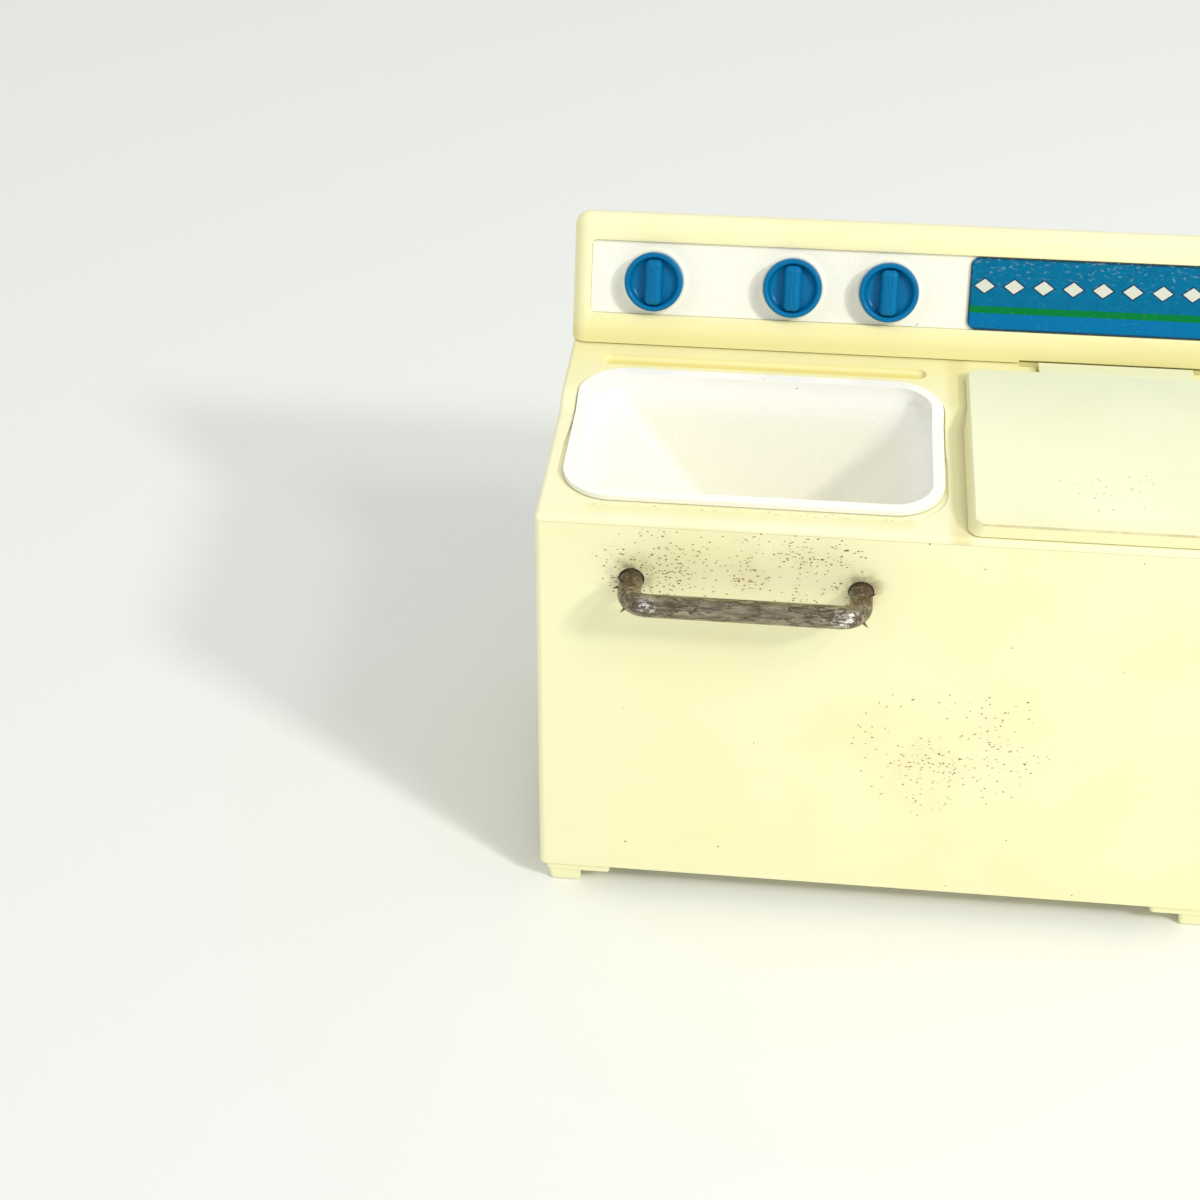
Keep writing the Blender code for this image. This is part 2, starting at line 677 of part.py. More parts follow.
def cut_tub_well(deck):
    """Round hole for the tub, with a seat for its lip."""
    well = bmesh.new()
    turned(well, [
        (TUB_RADIUS + FIT_GAP, DECK_LOW_Z - CUT_OVERRUN),
        (TUB_RADIUS + FIT_GAP, DECK_Z),
        (TUB_LIP_RADIUS + FIT_GAP, DECK_Z),
        (TUB_LIP_RADIUS + FIT_GAP, SHELF_Z + CUT_OVERRUN),
    ], TUB_SIDES, TUB_X, TUB_Y)
    shape_with(deck, "DIFFERENCE", "tub_well", well)


def cut_soap_groove(deck):
    """Shallow round-ended groove across the shelf, behind the sink."""
    groove = bmesh.new()
    back = SPLASH_Y - GROOVE_REAR_MARGIN
    run = (LEFT + GROOVE_LEFT_MARGIN, SINK_RIGHT - GROOVE_RIGHT_INSET, back - GROOVE_WIDTH, back,
           GROOVE_WIDTH * GROOVE_END_SHARE)
    shoulder_z = SHELF_Z - GROOVE_DEPTH * GROOVE_SHOULDER_SHARE
    skin(groove, [level(rounded(*inset(run, GROOVE_DEPTH)), SHELF_Z - GROOVE_DEPTH),
                  level(rounded(*inset(run, GROOVE_DEPTH / 3)), shoulder_z),
                  level(rounded(*run), SHELF_Z),
                  level(rounded(*run), SHELF_Z + CUT_OVERRUN)])
    shape_with(deck, "DIFFERENCE", "soap_groove", groove)


def cut_hinge_slot(deck):
    """Slot for the lid's tab, with a blind hole for a hinge pin at each end."""
    hinge = bmesh.new()
    slot_left, slot_right = slot_ends()
    box_bar(hinge, (slot_left, HINGE_Y - KNUCKLE_RADIUS - FIT_GAP, DECK_LOW_Z - CUT_OVERRUN),
            (slot_right, SPLASH_Y + SLOT_REAR, SHELF_Z + CUT_OVERRUN))
    rod(hinge, (slot_left - PIN_SEAT - PIN_GAP, HINGE_Y, HINGE_Z),
        (slot_right + PIN_SEAT + PIN_GAP, HINGE_Y, HINGE_Z), PIN_RADIUS + PIN_GAP)
    shape_with(deck, "DIFFERENCE", "hinge_slot", hinge)


def slot_ends():
    """X of the hinge slot's two ends."""
    half = TAB_WIDTH / 2 + SLOT_MARGIN
    return (TAB_X - half, TAB_X + half)


def frame_screw_places():
    """Where the two screws come up through the deck into the backsplash frame."""
    reach = CABINET_WALL + SKIRT_WALL + FIT_GAP + SCREW_HEAD_RADIUS + FIT_GAP
    y = REAR - reach - COVER_THICKNESS
    return ((LEFT + reach, y), (RIGHT - reach, y))


def build_frame_screws():
    """Two screws from under the deck that hold the backsplash frame down."""
    names = ("frame_screw_left", "frame_screw_right")
    for name, (x, y) in zip(names, frame_screw_places()):
        seat = DECK_LOW_Z - PIN_GAP
        build_screw(name, SHORT_SCREW_LENGTH + SHELF_Z - seat, Matrix.Translation((x, y, seat)))


def bowl_box(share, wall):
    """Plan of the hopper at a share of its depth; wall lets it out to the outer face."""
    drop = BOWL_DEPTH * share
    band = RIM_BAND - wall
    side_run = (SINK_RIGHT - SINK_LEFT - 2 * RIM_BAND - BOWL_FLOOR_WIDTH) / 2
    x_low = SINK_LEFT + band + side_run * share
    x_high = SINK_RIGHT - band - side_run * share
    y_low = SINK_FRONT + band + BOWL_FRONT_LEAN * drop
    y_high = SINK_BACK - band - BOWL_REAR_LEAN * drop
    top_corner = RIM_CORNER - band
    corner = top_corner + (BOWL_CORNER + wall - top_corner) * share
    return (x_low, x_high, y_low, y_high, corner)


def build_sink_basin():
    """White hopper-shaped basin hung in the deck by its rolled rim."""
    bm = bmesh.new()
    rim = rim_box()
    floor_z = RIM_TOP_Z - BOWL_DEPTH
    low_share = 1 - BOWL_FILLET / BOWL_DEPTH
    lip_z = RIM_TOP_Z - RIM_ROUND
    rings = [
        level(rim_outline(inset(bowl_box(1, BOWL_WALL), BOWL_FILLET)), floor_z - BOWL_WALL),
        level(rim_outline(bowl_box(low_share, BOWL_WALL)), floor_z - BOWL_WALL + BOWL_FILLET),
        level(rim_outline(bowl_box(0, BOWL_WALL)), RIM_BASE_Z - RIM_SKIRT),
        stepped(rim_outline(bowl_box(0, BOWL_WALL)), RIM_BASE_Z),
        stepped(rim_outline(rim), RIM_BASE_Z),
        stepped(rim_outline(rim), lip_z),
        stepped(rim_outline(inset(rim, RIM_ROUND / 3)), RIM_TOP_Z - RIM_ROUND / 3),
        stepped(rim_outline(inset(rim, RIM_ROUND)), RIM_TOP_Z),
        stepped(rim_outline(inset(rim, RIM_BAND - RIM_ROUND)), RIM_TOP_Z),
        stepped(rim_outline(inset(rim, RIM_BAND - RIM_ROUND / 3)), RIM_TOP_Z - RIM_ROUND / 3),
        stepped(rim_outline(inset(rim, RIM_BAND)), lip_z),
        level(rim_outline(bowl_box(RIM_SKIRT / BOWL_DEPTH, 0)), lip_z - RIM_SKIRT),
        level(rim_outline(bowl_box(low_share, 0)), floor_z + BOWL_FILLET),
        level(rim_outline(inset(bowl_box(1, 0), BOWL_FILLET / 3)), floor_z + BOWL_FILLET / 3),
        level(rim_outline(inset(bowl_box(1, 0), BOWL_FILLET)), floor_z),
    ]
    skin(bm, rings)
    piece("sink_basin", bm, white("white_basin"))


def build_wash_tub():
    """White round tub under the lid, with a bearing boss in its floor."""
    bm = bmesh.new()
    low_radius = TUB_RADIUS - TUB_DRAFT
    under_z = TUB_FLOOR_Z - TUB_WALL
    bore = AXLE_RADIUS + PIN_GAP
    turned_ring(bm, [
        (bore, under_z),
        (low_radius - TUB_FILLET, under_z),
        (low_radius, under_z + TUB_FILLET),
        (TUB_RADIUS, DECK_Z + FIT_GAP),
        (TUB_LIP_RADIUS, DECK_Z + FIT_GAP),
        (TUB_LIP_RADIUS, TUB_TOP_Z - TUB_LIP_THICKNESS / 3),
        (TUB_LIP_RADIUS - TUB_LIP_THICKNESS / 3, TUB_TOP_Z),
        (TUB_RADIUS - TUB_WALL, TUB_TOP_Z),
        (TUB_RADIUS - TUB_WALL - TUB_LIP_THICKNESS / 3, TUB_TOP_Z - TUB_LIP_THICKNESS / 3),
        (low_radius - TUB_WALL, TUB_FLOOR_Z + TUB_FILLET),
        (low_radius - TUB_WALL - TUB_FILLET / 3, TUB_FLOOR_Z + TUB_FILLET / 3),
        (low_radius - TUB_WALL - TUB_FILLET, TUB_FLOOR_Z),
        (TUB_BOSS_RADIUS, TUB_FLOOR_Z),
        (TUB_BOSS_RADIUS, TUB_FLOOR_Z + TUB_BOSS_HEIGHT),
        (bore, TUB_FLOOR_Z + TUB_BOSS_HEIGHT),
    ], TUB_SIDES, TUB_X, TUB_Y)
    piece("wash_tub", bm, white("white_tub"))


def build_agitator():
    """Finned agitator on its axle, held by a push-on clip under the tub."""
    place = Matrix.Translation((TUB_X, TUB_Y, AGITATOR_Z))
    disc_radius = (TUB_RADIUS - TUB_DRAFT - TUB_WALL) * AGITATOR_RADIUS_SHARE
    socket = AXLE_RADIUS + PIN_GAP
    crown = [(AGITATOR_HUB_TOP_RADIUS * out, AGITATOR_HUB_HEIGHT - AGITATOR_HUB_TOP_RADIUS * down)
             for out, down in AGITATOR_CROWN_SHARES]
    bm = bmesh.new()
    turned(bm, [
        (socket, AGITATOR_DISC + AGITATOR_VANE_HEIGHT),
        (socket, 0),
        (disc_radius - AGITATOR_DISC / 3, 0),
        (disc_radius, AGITATOR_DISC / 3),
        (disc_radius, AGITATOR_DISC * 2 / 3),
        (AGITATOR_HUB_RADIUS, AGITATOR_DISC),
        (AGITATOR_HUB_TOP_RADIUS, AGITATOR_HUB_HEIGHT - AGITATOR_HUB_TOP_RADIUS / 2),
        *crown,
    ], ROUND_SIDES)
    agitator = piece("agitator", bm, plastic("blue_agitator", (0.02, 0.25, 0.47), 0.35), place)

    vanes = bmesh.new()
    inner = (AGITATOR_HUB_RADIUS + AGITATOR_HUB_TOP_RADIUS) / 2
    half = AGITATOR_VANE_WIDTH / 2
    rise = AGITATOR_DISC / 3
    top = AGITATOR_DISC + AGITATOR_VANE_HEIGHT
    outer = disc_radius - AGITATOR_DISC
    reach = outer * VANE_TOP_SHARE
    for index in range(VANE_COUNT):
        before = len(vanes.verts)
        skin(vanes, [
            [(inner, -half, rise), (outer, -half, rise), (outer, half, rise), (inner, half, rise)],
            [(inner, -half / 2, top), (reach, -half / 2, top),
             (reach, half / 2, top), (inner, half / 2, top)],
        ])
        vanes.verts.ensure_lookup_table()
        turn = Matrix.Rotation(2 * pi * index / VANE_COUNT, 4, "Z")
        bmesh.ops.transform(vanes, matrix=turn, verts=vanes.verts[before:])
    shape_with(agitator, "UNION", "agitator_vanes", vanes, place)

    axle_low = TUB_FLOOR_Z - TUB_WALL - AXLE_TAIL - AGITATOR_Z
    axle = bmesh.new()
    edge = AXLE_RADIUS / 4
    axle_top = AGITATOR_DISC + AGITATOR_VANE_HEIGHT - FIT_GAP
    turned(axle, [
        (AXLE_RADIUS - edge, axle_low),
        (AXLE_RADIUS, axle_low + edge),
        (AXLE_RADIUS, axle_top - edge),
        (AXLE_RADIUS - edge, axle_top),
    ], SMALL_SIDES)
    piece("agitator_axle", axle, steel("steel_axle"), place)

    clip = bmesh.new()
    clip_top = TUB_FLOOR_Z - TUB_WALL - RUN_GAP - AGITATOR_Z
    washer(clip, AXLE_RADIUS + PIN_GAP, CLIP_RADIUS, clip_top - CLIP_THICKNESS, clip_top)
    piece("axle_clip", clip, steel("steel_clip"), place)


def washer(bm, bore, radius, z_low, z_high):
    """Dished push-on washer."""
    dish = (z_high - z_low) / 3
    section = [(bore, z_low - dish), (radius, z_low), (radius, z_high), (bore, z_high - dish)]
    turned_ring(bm, section, SMALL_SIDES)


def build_washer_lid():
    """Cream lid: shallow tray turned over, hinge tab and two stub pins at the back."""
    bm = bmesh.new()
    box = (LID_LEFT, LID_RIGHT, LID_FRONT, LID_BACK, LID_CORNER)
    low = DECK_Z + FIT_GAP
    wall_top = LID_TOP_Z - LID_ROUND
    draft = LID_ROUND / 3
    rings = [level(rounded(*box), low)]
    for step in range(ROUND_STEPS + 1):
        turn = pi / 2 * step / ROUND_STEPS
        edge = inset(box, draft + LID_ROUND * (1 - cos(turn)))
        rings.append(level(rounded(*edge), wall_top + LID_ROUND * sin(turn)))
    brow = inset(box, draft + LID_ROUND + LID_BROW_FOLD)
    crown = (brow[0], brow[1], LID_FRONT + LID_BROW_RUN, brow[3], brow[4])
    rings.append(level(rounded(*crown), LID_TOP_Z))
    skin(bm, rings)
    sink_brow(bm)
    place = Matrix.Translation((TAB_X, HINGE_Y, HINGE_Z))
    bmesh.ops.transform(bm, matrix=place.inverted(), verts=bm.verts)
    lid = piece("washer_lid", bm, plastic("cream_lid", (0.88, 0.88, 0.62), 0.38), place)

    tab = bmesh.new()
    half = TAB_WIDTH / 2
    web_z = SHELF_Z + FIT_GAP
    back_y = HINGE_Y + TAB_REACH
    tab_top = HINGE_Z + TAB_RISE
    knuckle = [(HINGE_Y - KNUCKLE_RADIUS * cos(turn), HINGE_Z - KNUCKLE_RADIUS * sin(turn))
               for turn in (pi * step / (2 * CORNER_STEPS) for step in range(2 * CORNER_STEPS + 1))]
    side_profile(tab, [
        (LID_BACK - LID_WALL / 2, web_z),
        (HINGE_Y - KNUCKLE_RADIUS, web_z),
        *knuckle,
        (back_y, HINGE_Z + TAB_ROUND),
        (back_y, tab_top - TAB_ROUND),
        (back_y - TAB_ROUND / 3, tab_top - TAB_ROUND / 3),
        (back_y - TAB_ROUND, tab_top),
        (LID_BACK - LID_WALL / 2, tab_top),
    ], TAB_X - half, TAB_X + half)
    shape_with(lid, "UNION", "hinge_tab", tab)

    hollow = bmesh.new()
    cavity = inset(box, LID_WALL)
    slab(hollow, rounded(*cavity), low - CUT_OVERRUN, LID_TOP_Z - LID_WALL)
    shape_with(lid, "DIFFERENCE", "lid_hollow", hollow)

    shelf = bmesh.new()
    side_profile(shelf, [
        (SLOPE_Y - FIT_GAP, low - CUT_OVERRUN),
        (LID_BACK + FIT_GAP / 2, low - CUT_OVERRUN),
        (LID_BACK + FIT_GAP / 2, web_z),
        (SLOPE_Y + SHELF_SLOPE - FIT_GAP, web_z),
        (SLOPE_Y - FIT_GAP, low),
    ], LID_LEFT - CUT_OVERRUN, LID_RIGHT + CUT_OVERRUN)
    shape_with(lid, "DIFFERENCE", "shelf_relief", shelf)

    pins = bmesh.new()
    slot_left, slot_right = slot_ends()
    rod(pins, (slot_left - PIN_SEAT, HINGE_Y, HINGE_Z), (slot_right + PIN_SEAT, HINGE_Y, HINGE_Z), PIN_RADIUS)
    shape_with(lid, "UNION", "hinge_pins", pins)


def sink_brow(bm):
    """Bend the lid's front down to its brow."""
    brow_end = LID_FRONT + LID_BROW_RUN
    for vert in bm.verts:
        run = (brow_end - vert.co.y) / LID_BROW_RUN
        if run > 0 and vert.co.z > DECK_Z + FIT_GAP + LID_BROW_DROP:
            vert.co.z -= LID_BROW_DROP * min(run, 1.0)


def build_towel_rail():
    """Metallised rail: one bent rod whose ends push into the cabinet front."""
    left, right = rail_posts()
    z = SEAM_Z - RAIL_DROP
    tail = FRONT + CABINET_WALL + RAIL_PEG
    bar = FRONT - RAIL_REACH
    points = [(left, tail), (left, FRONT)]
    points += arc_points(left + RAIL_BEND, bar + RAIL_BEND, RAIL_BEND, pi, 3 * pi / 2)
    points += arc_points(right - RAIL_BEND, bar + RAIL_BEND, RAIL_BEND, 3 * pi / 2, 2 * pi)
    points += [(right, FRONT), (right, tail)]
    curve = bpy.data.curves.new("towel_rail", "CURVE")
    curve.dimensions = "3D"
    curve.bevel_depth = RAIL_RADIUS
    curve.bevel_resolution = RAIL_RESOLUTION
    curve.use_fill_caps = True
    path = curve.splines.new("POLY")
    path.points.add(len(points) - 1)
    for knot, (x, y) in zip(path.points, points):
        knot.co = (x, y, z, 1.0)
    path.use_smooth = True
    rail = bpy.data.objects.new("towel_rail", curve)
    curve.materials.append(plastic("worn_silver", (0.42, 0.39, 0.36), 0.35, 0.8))
    bpy.context.scene.collection.objects.link(rail)


def arc_points(x, y, radius, start, end):
    """Points of a bend, both ends included."""
    steps = 2 * CORNER_STEPS
    turns = [start + (end - start) * step / steps for step in range(steps + 1)]
    return [(x + radius * cos(turn), y + radius * sin(turn)) for turn in turns]


def build_backsplash_frame():
    """Tilted frame moulding, hollow behind, with a pocket for the control panel."""
    frame = splash_blank()
    cut_splash_hollow(frame)
    add_splash_bosses(frame)
    cut_panel_pocket(frame)
    notch = bmesh.new()
    slot_left, slot_right = slot_ends()
    box_bar(notch, (slot_left, SPLASH_Y - CUT_OVERRUN, SPLASH_FOOT_Z - CUT_OVERRUN),
            (slot_right, SPLASH_Y + SLOT_REAR, SHELF_Z + NOTCH_HEIGHT))
    shape_with(frame, "DIFFERENCE", "tab_notch", notch)


def splash_blank():
    """Solid wedge of the frame with its front edges rounded."""
    bm = bmesh.new()
    side_profile(bm, [
        (SPLASH_Y + FIT_GAP * SPLASH_LEAN, SPLASH_FOOT_Z), (SPLASH_BROW.y, SPLASH_BROW.z),
        (REAR, SPLASH_REAR_Z), (REAR, SPLASH_FOOT_Z),
    ], SPLASH_LEFT, SPLASH_RIGHT)
    tolerance = FIT_GAP / 3
    brow = edges_where(bm, lambda co: abs(co.z - SPLASH_BROW.z) < tolerance)
    ends = [edge for edge in edges_where(bm, lambda co: co.y < SPLASH_BROW.y + tolerance or
                                         co.z > SPLASH_REAR_Z - tolerance)
            if abs(edge.verts[0].co.x - edge.verts[1].co.x) < tolerance]
    bmesh.ops.bevel(bm, geom=list(set(brow + ends)), offset=SPLASH_ROUND, offset_type="OFFSET",
                    segments=CORNER_STEPS, profile=0.5, affect="EDGES", clamp_overlap=True)
    return piece("backsplash_frame", bm, ivory("ivory_backsplash"))


def cut_splash_hollow(frame):
    """Hollow the frame out from behind and below."""
    hollow = bmesh.new()
    inner_top = SPLASH_FRAME @ Vector((0, SPLASH_RISE - SPLASH_WALL, -SPLASH_FRONT_WALL))
    inner_foot = SPLASH_FRAME @ Vector((0, 0, -SPLASH_FRONT_WALL))
    past = REAR + CUT_OVERRUN
    low = SPLASH_FOOT_Z - CUT_OVERRUN
    side_profile(hollow, [
        (inner_foot.y - (inner_foot.z - low) * SPLASH_LEAN, low),
        (inner_top.y, inner_top.z),
        (past, inner_top.z - (past - inner_top.y) * SPLASH_LEAN),
        (past, low),
    ], SPLASH_LEFT + SPLASH_WALL, SPLASH_RIGHT - SPLASH_WALL)
    shape_with(frame, "DIFFERENCE", "frame_hollow", hollow)


def add_splash_bosses(frame):
    """Screw bosses at the frame's foot and behind its face, bored for their screws."""
    bosses = bmesh.new()
    holes = bmesh.new()
    boss_top = SPLASH_FOOT_Z + FRAME_BOSS_HEIGHT
    bore_top = SHELF_Z + SHORT_SCREW_LENGTH + PILOT_SPARE / 2
    web = SPLASH_WALL / 2
    for x, y in frame_screw_places():
        side = 1 if x > 0 else -1
        wall_x = side * (SPLASH_RIGHT - web)
        rod(bosses, (x, y, SPLASH_FOOT_Z), (x, y, boss_top), BOSS_RADIUS)
        box_bar(bosses, (min(x, wall_x), y - web, SPLASH_FOOT_Z), (max(x, wall_x), y + web, boss_top))
        rod(holes, (x, y, SPLASH_FOOT_Z - CUT_OVERRUN), (x, y, bore_top), PILOT_RADIUS)
    seat = REAR - COVER_THICKNESS - FIT_GAP
    for x, z in cover_screw_places():
        front = SPLASH_FRAME @ Vector((0, (z - SHELF_Z) / cos(SPLASH_TILT), -SPLASH_FRONT_WALL / 2))
        rod(bosses, (x, front.y, z), (x, seat, z), BOSS_RADIUS)
        rod(holes, (x, seat - cover_screw_bite() - PIN_GAP, z), (x, seat + CUT_OVERRUN, z), PILOT_RADIUS)
    shape_with(frame, "UNION", "frame_bosses", bosses)
    shape_with(frame, "DIFFERENCE", "frame_pilot_holes", holes)


def cut_panel_pocket(frame):
    """Pocket for the control panel and the holes for the knobs' shafts."""
    pocket = bmesh.new()
    outline = rounded(POCKET_LEFT, POCKET_RIGHT, PANEL_FOOT_MARGIN, POCKET_TOP, PANEL_CORNER)
    slab(pocket, outline, POCKET_FLOOR, CUT_OVERRUN)
    shape_with(frame, "DIFFERENCE", "panel_pocket", pocket, SPLASH_FRAME)
    shafts = bmesh.new()
    for x in knob_places():
        rod(shafts, (x, KNOB_LIFT, -SPLASH_FRONT_WALL - CUT_OVERRUN), (x, KNOB_LIFT, 0),
            KNOB_SHAFT_RADIUS + PIN_GAP)
    shape_with(frame, "DIFFERENCE", "shaft_holes", shafts, SPLASH_FRAME)


def cover_screw_places():
    """X and Z of the two screws in the backsplash's rear cover."""
    width = SPLASH_RIGHT - SPLASH_LEFT
    z = SHELF_Z + SPLASH_RISE * cos(SPLASH_TILT) * COVER_BOSS_LIFT_SHARE
    return [(SPLASH_LEFT + width * share, z) for share in COVER_BOSS_SHARES]


def cover_screw_bite():
    """How far a cover screw goes into its boss."""
    return SHORT_SCREW_LENGTH - COVER_THICKNESS + SCREW_HEAD_HEIGHT


def build_backsplash_cover():
    """Flat plate that closes the back of the backsplash, with sunk screw heads."""
    top_z = SPLASH_REAR_Z - SPLASH_WALL / cos(SPLASH_TILT) - FIT_GAP
    side = SPLASH_WALL + FIT_GAP
    outline = rounded(SPLASH_LEFT + side, SPLASH_RIGHT - side, SHELF_Z + 2 * FIT_GAP, top_z, COVER_CORNER)
    bm = bmesh.new()
    skin(bm, [[(x, y, z) for x, z in outline] for y in (REAR - COVER_THICKNESS, REAR)])
    cover = piece("backsplash_cover", bm, ivory("ivory_cover"))
    holes = bmesh.new()
    for x, z in cover_screw_places():
        rod(holes, (x, REAR - COVER_THICKNESS - CUT_OVERRUN, z), (x, REAR, z), SCREW_SHANK_RADIUS + PIN_GAP)
        rod(holes, (x, REAR - SCREW_HEAD_HEIGHT, z), (x, REAR + CUT_OVERRUN, z), SCREW_HEAD_RADIUS + PIN_GAP)
    shape_with(cover, "DIFFERENCE", "cover_screw_holes", holes)
    turn = Matrix.Rotation(pi / 2, 4, "X")
    for name, (x, z) in zip(("cover_screw_left", "cover_screw_right"), cover_screw_places()):
        head_y = REAR - SCREW_HEAD_HEIGHT + PIN_GAP
        build_screw(name, SHORT_SCREW_LENGTH, Matrix.Translation((x, head_y, z)) @ turn)


def knob_places():
    """X of the three knobs along the panel."""
    run = LABEL_LEFT - POCKET_LEFT
    return [POCKET_LEFT + run * share for share in KNOB_PLACE_SHARES]


def build_control_panel():
    """White panel with a low round boss behind each knob."""
    edge = LABEL_GAP
    bm = bmesh.new()
    box = inset((POCKET_LEFT, POCKET_RIGHT, PANEL_FOOT_MARGIN, POCKET_TOP, PANEL_CORNER), edge)
    slab(bm, rounded(*box), PANEL_FACE - PANEL_THICKNESS, PANEL_FACE)
    panel = piece("control_panel", bm, white("white_panel"), SPLASH_FRAME)
    rings = bmesh.new()
    slope = BOSS_RING_HEIGHT / 3
    for x in knob_places():
        turned_ring(rings, [
            (BOSS_RING_RADIUS - BOSS_RING_BAND, PANEL_FACE - PANEL_THICKNESS / 2),
            (BOSS_RING_RADIUS, PANEL_FACE - PANEL_THICKNESS / 2),
            (BOSS_RING_RADIUS, PANEL_FACE + BOSS_RING_HEIGHT - slope),
            (BOSS_RING_RADIUS - slope, PANEL_FACE + BOSS_RING_HEIGHT),
            (BOSS_RING_RADIUS - BOSS_RING_BAND, PANEL_FACE + BOSS_RING_HEIGHT),
        ], ROUND_SIDES, x, KNOB_LIFT)
    shape_with(panel, "UNION", "knob_bosses", rings, SPLASH_FRAME)
    shafts = bmesh.new()
    for x in knob_places():
        rod(shafts, (x, KNOB_LIFT, PANEL_FACE - PANEL_THICKNESS - CUT_OVERRUN), (x, KNOB_LIFT, CUT_OVERRUN),
            KNOB_SHAFT_RADIUS + PIN_GAP)
    shape_with(panel, "DIFFERENCE", "panel_shaft_holes", shafts, SPLASH_FRAME)


def build_panel_label():
    """Printed label laid on the panel's right-hand end."""
    bm = bmesh.new()
    box = (LABEL_LEFT, LABEL_RIGHT, PANEL_FOOT_MARGIN + LABEL_GAP, POCKET_TOP - LABEL_GAP, PANEL_CORNER)
    low = PANEL_FACE + LABEL_GAP
    slab(bm, rounded(*box), low, low + LABEL_THICKNESS)
    piece("panel_label", bm, plastic("blue_label", (0.0, 0.21, 0.51), 0.3), SPLASH_FRAME)


def build_knob(name, x):
    """Dished knob with a raised grip bar, its shaft and the washer behind the frame."""
    place = SPLASH_FRAME @ Matrix.Translation((x, KNOB_LIFT, KNOB_BACK))
    rim_inner = KNOB_RADIUS - KNOB_RIM
    shaft_end = -(KNOB_BACK + SPLASH_FRONT_WALL + RETAINER_THICKNESS + 2 * RUN_GAP)
    bm = bmesh.new()
    turned(bm, [
        (KNOB_SHAFT_RADIUS - KNOB_EDGE, shaft_end - RETAINER_THICKNESS / 2),
        (KNOB_SHAFT_RADIUS, shaft_end),
        (KNOB_SHAFT_RADIUS, 0),
        (KNOB_RADIUS - KNOB_EDGE, 0),
        (KNOB_RADIUS, KNOB_EDGE),
        (KNOB_RADIUS, KNOB_HEIGHT - KNOB_EDGE),
        (KNOB_RADIUS - KNOB_EDGE, KNOB_HEIGHT),
        (rim_inner, KNOB_HEIGHT),
        (rim_inner - KNOB_EDGE, KNOB_HEIGHT - KNOB_DISH + KNOB_EDGE),
        (rim_inner - 2 * KNOB_EDGE, KNOB_HEIGHT - KNOB_DISH),
    ], ROUND_SIDES)
    knob = piece(name, bm, plastic("blue_" + name, (0.0, 0.165, 0.43), 0.33), place)
    grip = bmesh.new()
    half_width = KNOB_GRIP_WIDTH / 2
    half_length = rim_inner * KNOB_GRIP_SHARE
    top = KNOB_HEIGHT + KNOB_GRIP_RISE
    foot = (-half_width, half_width, -half_length, half_length, half_width / 3)
    skin(grip, [level(rounded(*foot), KNOB_HEIGHT - KNOB_DISH - KNOB_EDGE),
                level(rounded(*inset(foot, KNOB_EDGE / 3)), top - KNOB_EDGE),
                level(rounded(*inset(foot, KNOB_EDGE)), top)])
    shape_with(knob, "UNION", name + "_grip", grip, place)
    washer_bm = bmesh.new()
    washer_top = -(KNOB_BACK + SPLASH_FRONT_WALL + RUN_GAP)
    bore = KNOB_SHAFT_RADIUS + PIN_GAP / 2
    washer(washer_bm, bore, RETAINER_RADIUS, washer_top - RETAINER_THICKNESS, washer_top)
    piece(name + "_washer", washer_bm, steel("steel_" + name), place)


def build_machine():
    """Put the whole machine together, from the floor up."""
    clear_scene()
    build_base_plate()
    build_base_screws()
    build_cabinet_shell()
    build_towel_rail()
    build_top_deck()
    build_sink_basin()
    build_wash_tub()
    build_agitator()
    build_washer_lid()
    build_backsplash_frame()
    build_frame_screws()
    build_backsplash_cover()
    build_control_panel()
    build_panel_label()
    for name, x in zip(("knob_left", "knob_centre", "knob_right"), knob_places()):
        build_knob(name, x)


build_machine()
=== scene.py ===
import bmesh
import bpy
from math import cos, pi, radians, sin
from mathutils import Matrix, Vector


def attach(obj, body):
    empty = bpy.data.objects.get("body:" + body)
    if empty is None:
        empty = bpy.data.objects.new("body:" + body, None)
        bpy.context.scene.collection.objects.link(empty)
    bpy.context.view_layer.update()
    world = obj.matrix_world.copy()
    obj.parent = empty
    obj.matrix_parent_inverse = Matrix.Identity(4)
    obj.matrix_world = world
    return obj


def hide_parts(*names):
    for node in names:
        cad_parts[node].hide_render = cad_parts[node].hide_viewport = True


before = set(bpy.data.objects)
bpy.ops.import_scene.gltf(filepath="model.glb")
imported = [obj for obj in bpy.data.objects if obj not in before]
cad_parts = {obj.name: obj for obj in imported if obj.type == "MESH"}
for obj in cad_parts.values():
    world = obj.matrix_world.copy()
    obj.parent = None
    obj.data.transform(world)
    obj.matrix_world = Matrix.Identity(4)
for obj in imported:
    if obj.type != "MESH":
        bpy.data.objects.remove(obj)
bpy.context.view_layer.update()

# The studio: a near-white paper floor, two soft lamps high on the right and a pale room.
# The camera stands a little left of the middle and looks down on the toy's front.
for leftover in ("Cube", "Light", "Camera"):
    if leftover in bpy.data.objects:
        bpy.data.objects.remove(bpy.data.objects[leftover])
scene = bpy.context.scene
scene.view_settings.view_transform = "Standard"
camera_data = bpy.data.cameras.new("camera")
camera_data.lens = 62.3946
camera_data.clip_start = 0.01
camera = bpy.data.objects.new("camera", camera_data)
camera.location = (-0.014624, -0.257078, 0.238103)
camera.rotation_euler = (radians(52.43064), radians(0.59289), radians(6.46594))
scene.collection.objects.link(camera)
scene.camera = camera


def add_node(tree, kind, values, **settings):
    """Add a shader node; a value that is a socket is linked, and any other is typed in."""
    fresh = tree.nodes.new("ShaderNode" + kind)
    for name, value in settings.items():
        setattr(fresh, name, value)
    for name, value in values.items():
        if isinstance(value, bpy.types.NodeSocket):
            tree.links.new(value, fresh.inputs[name])
        else:
            fresh.inputs[name].default_value = value
    return fresh


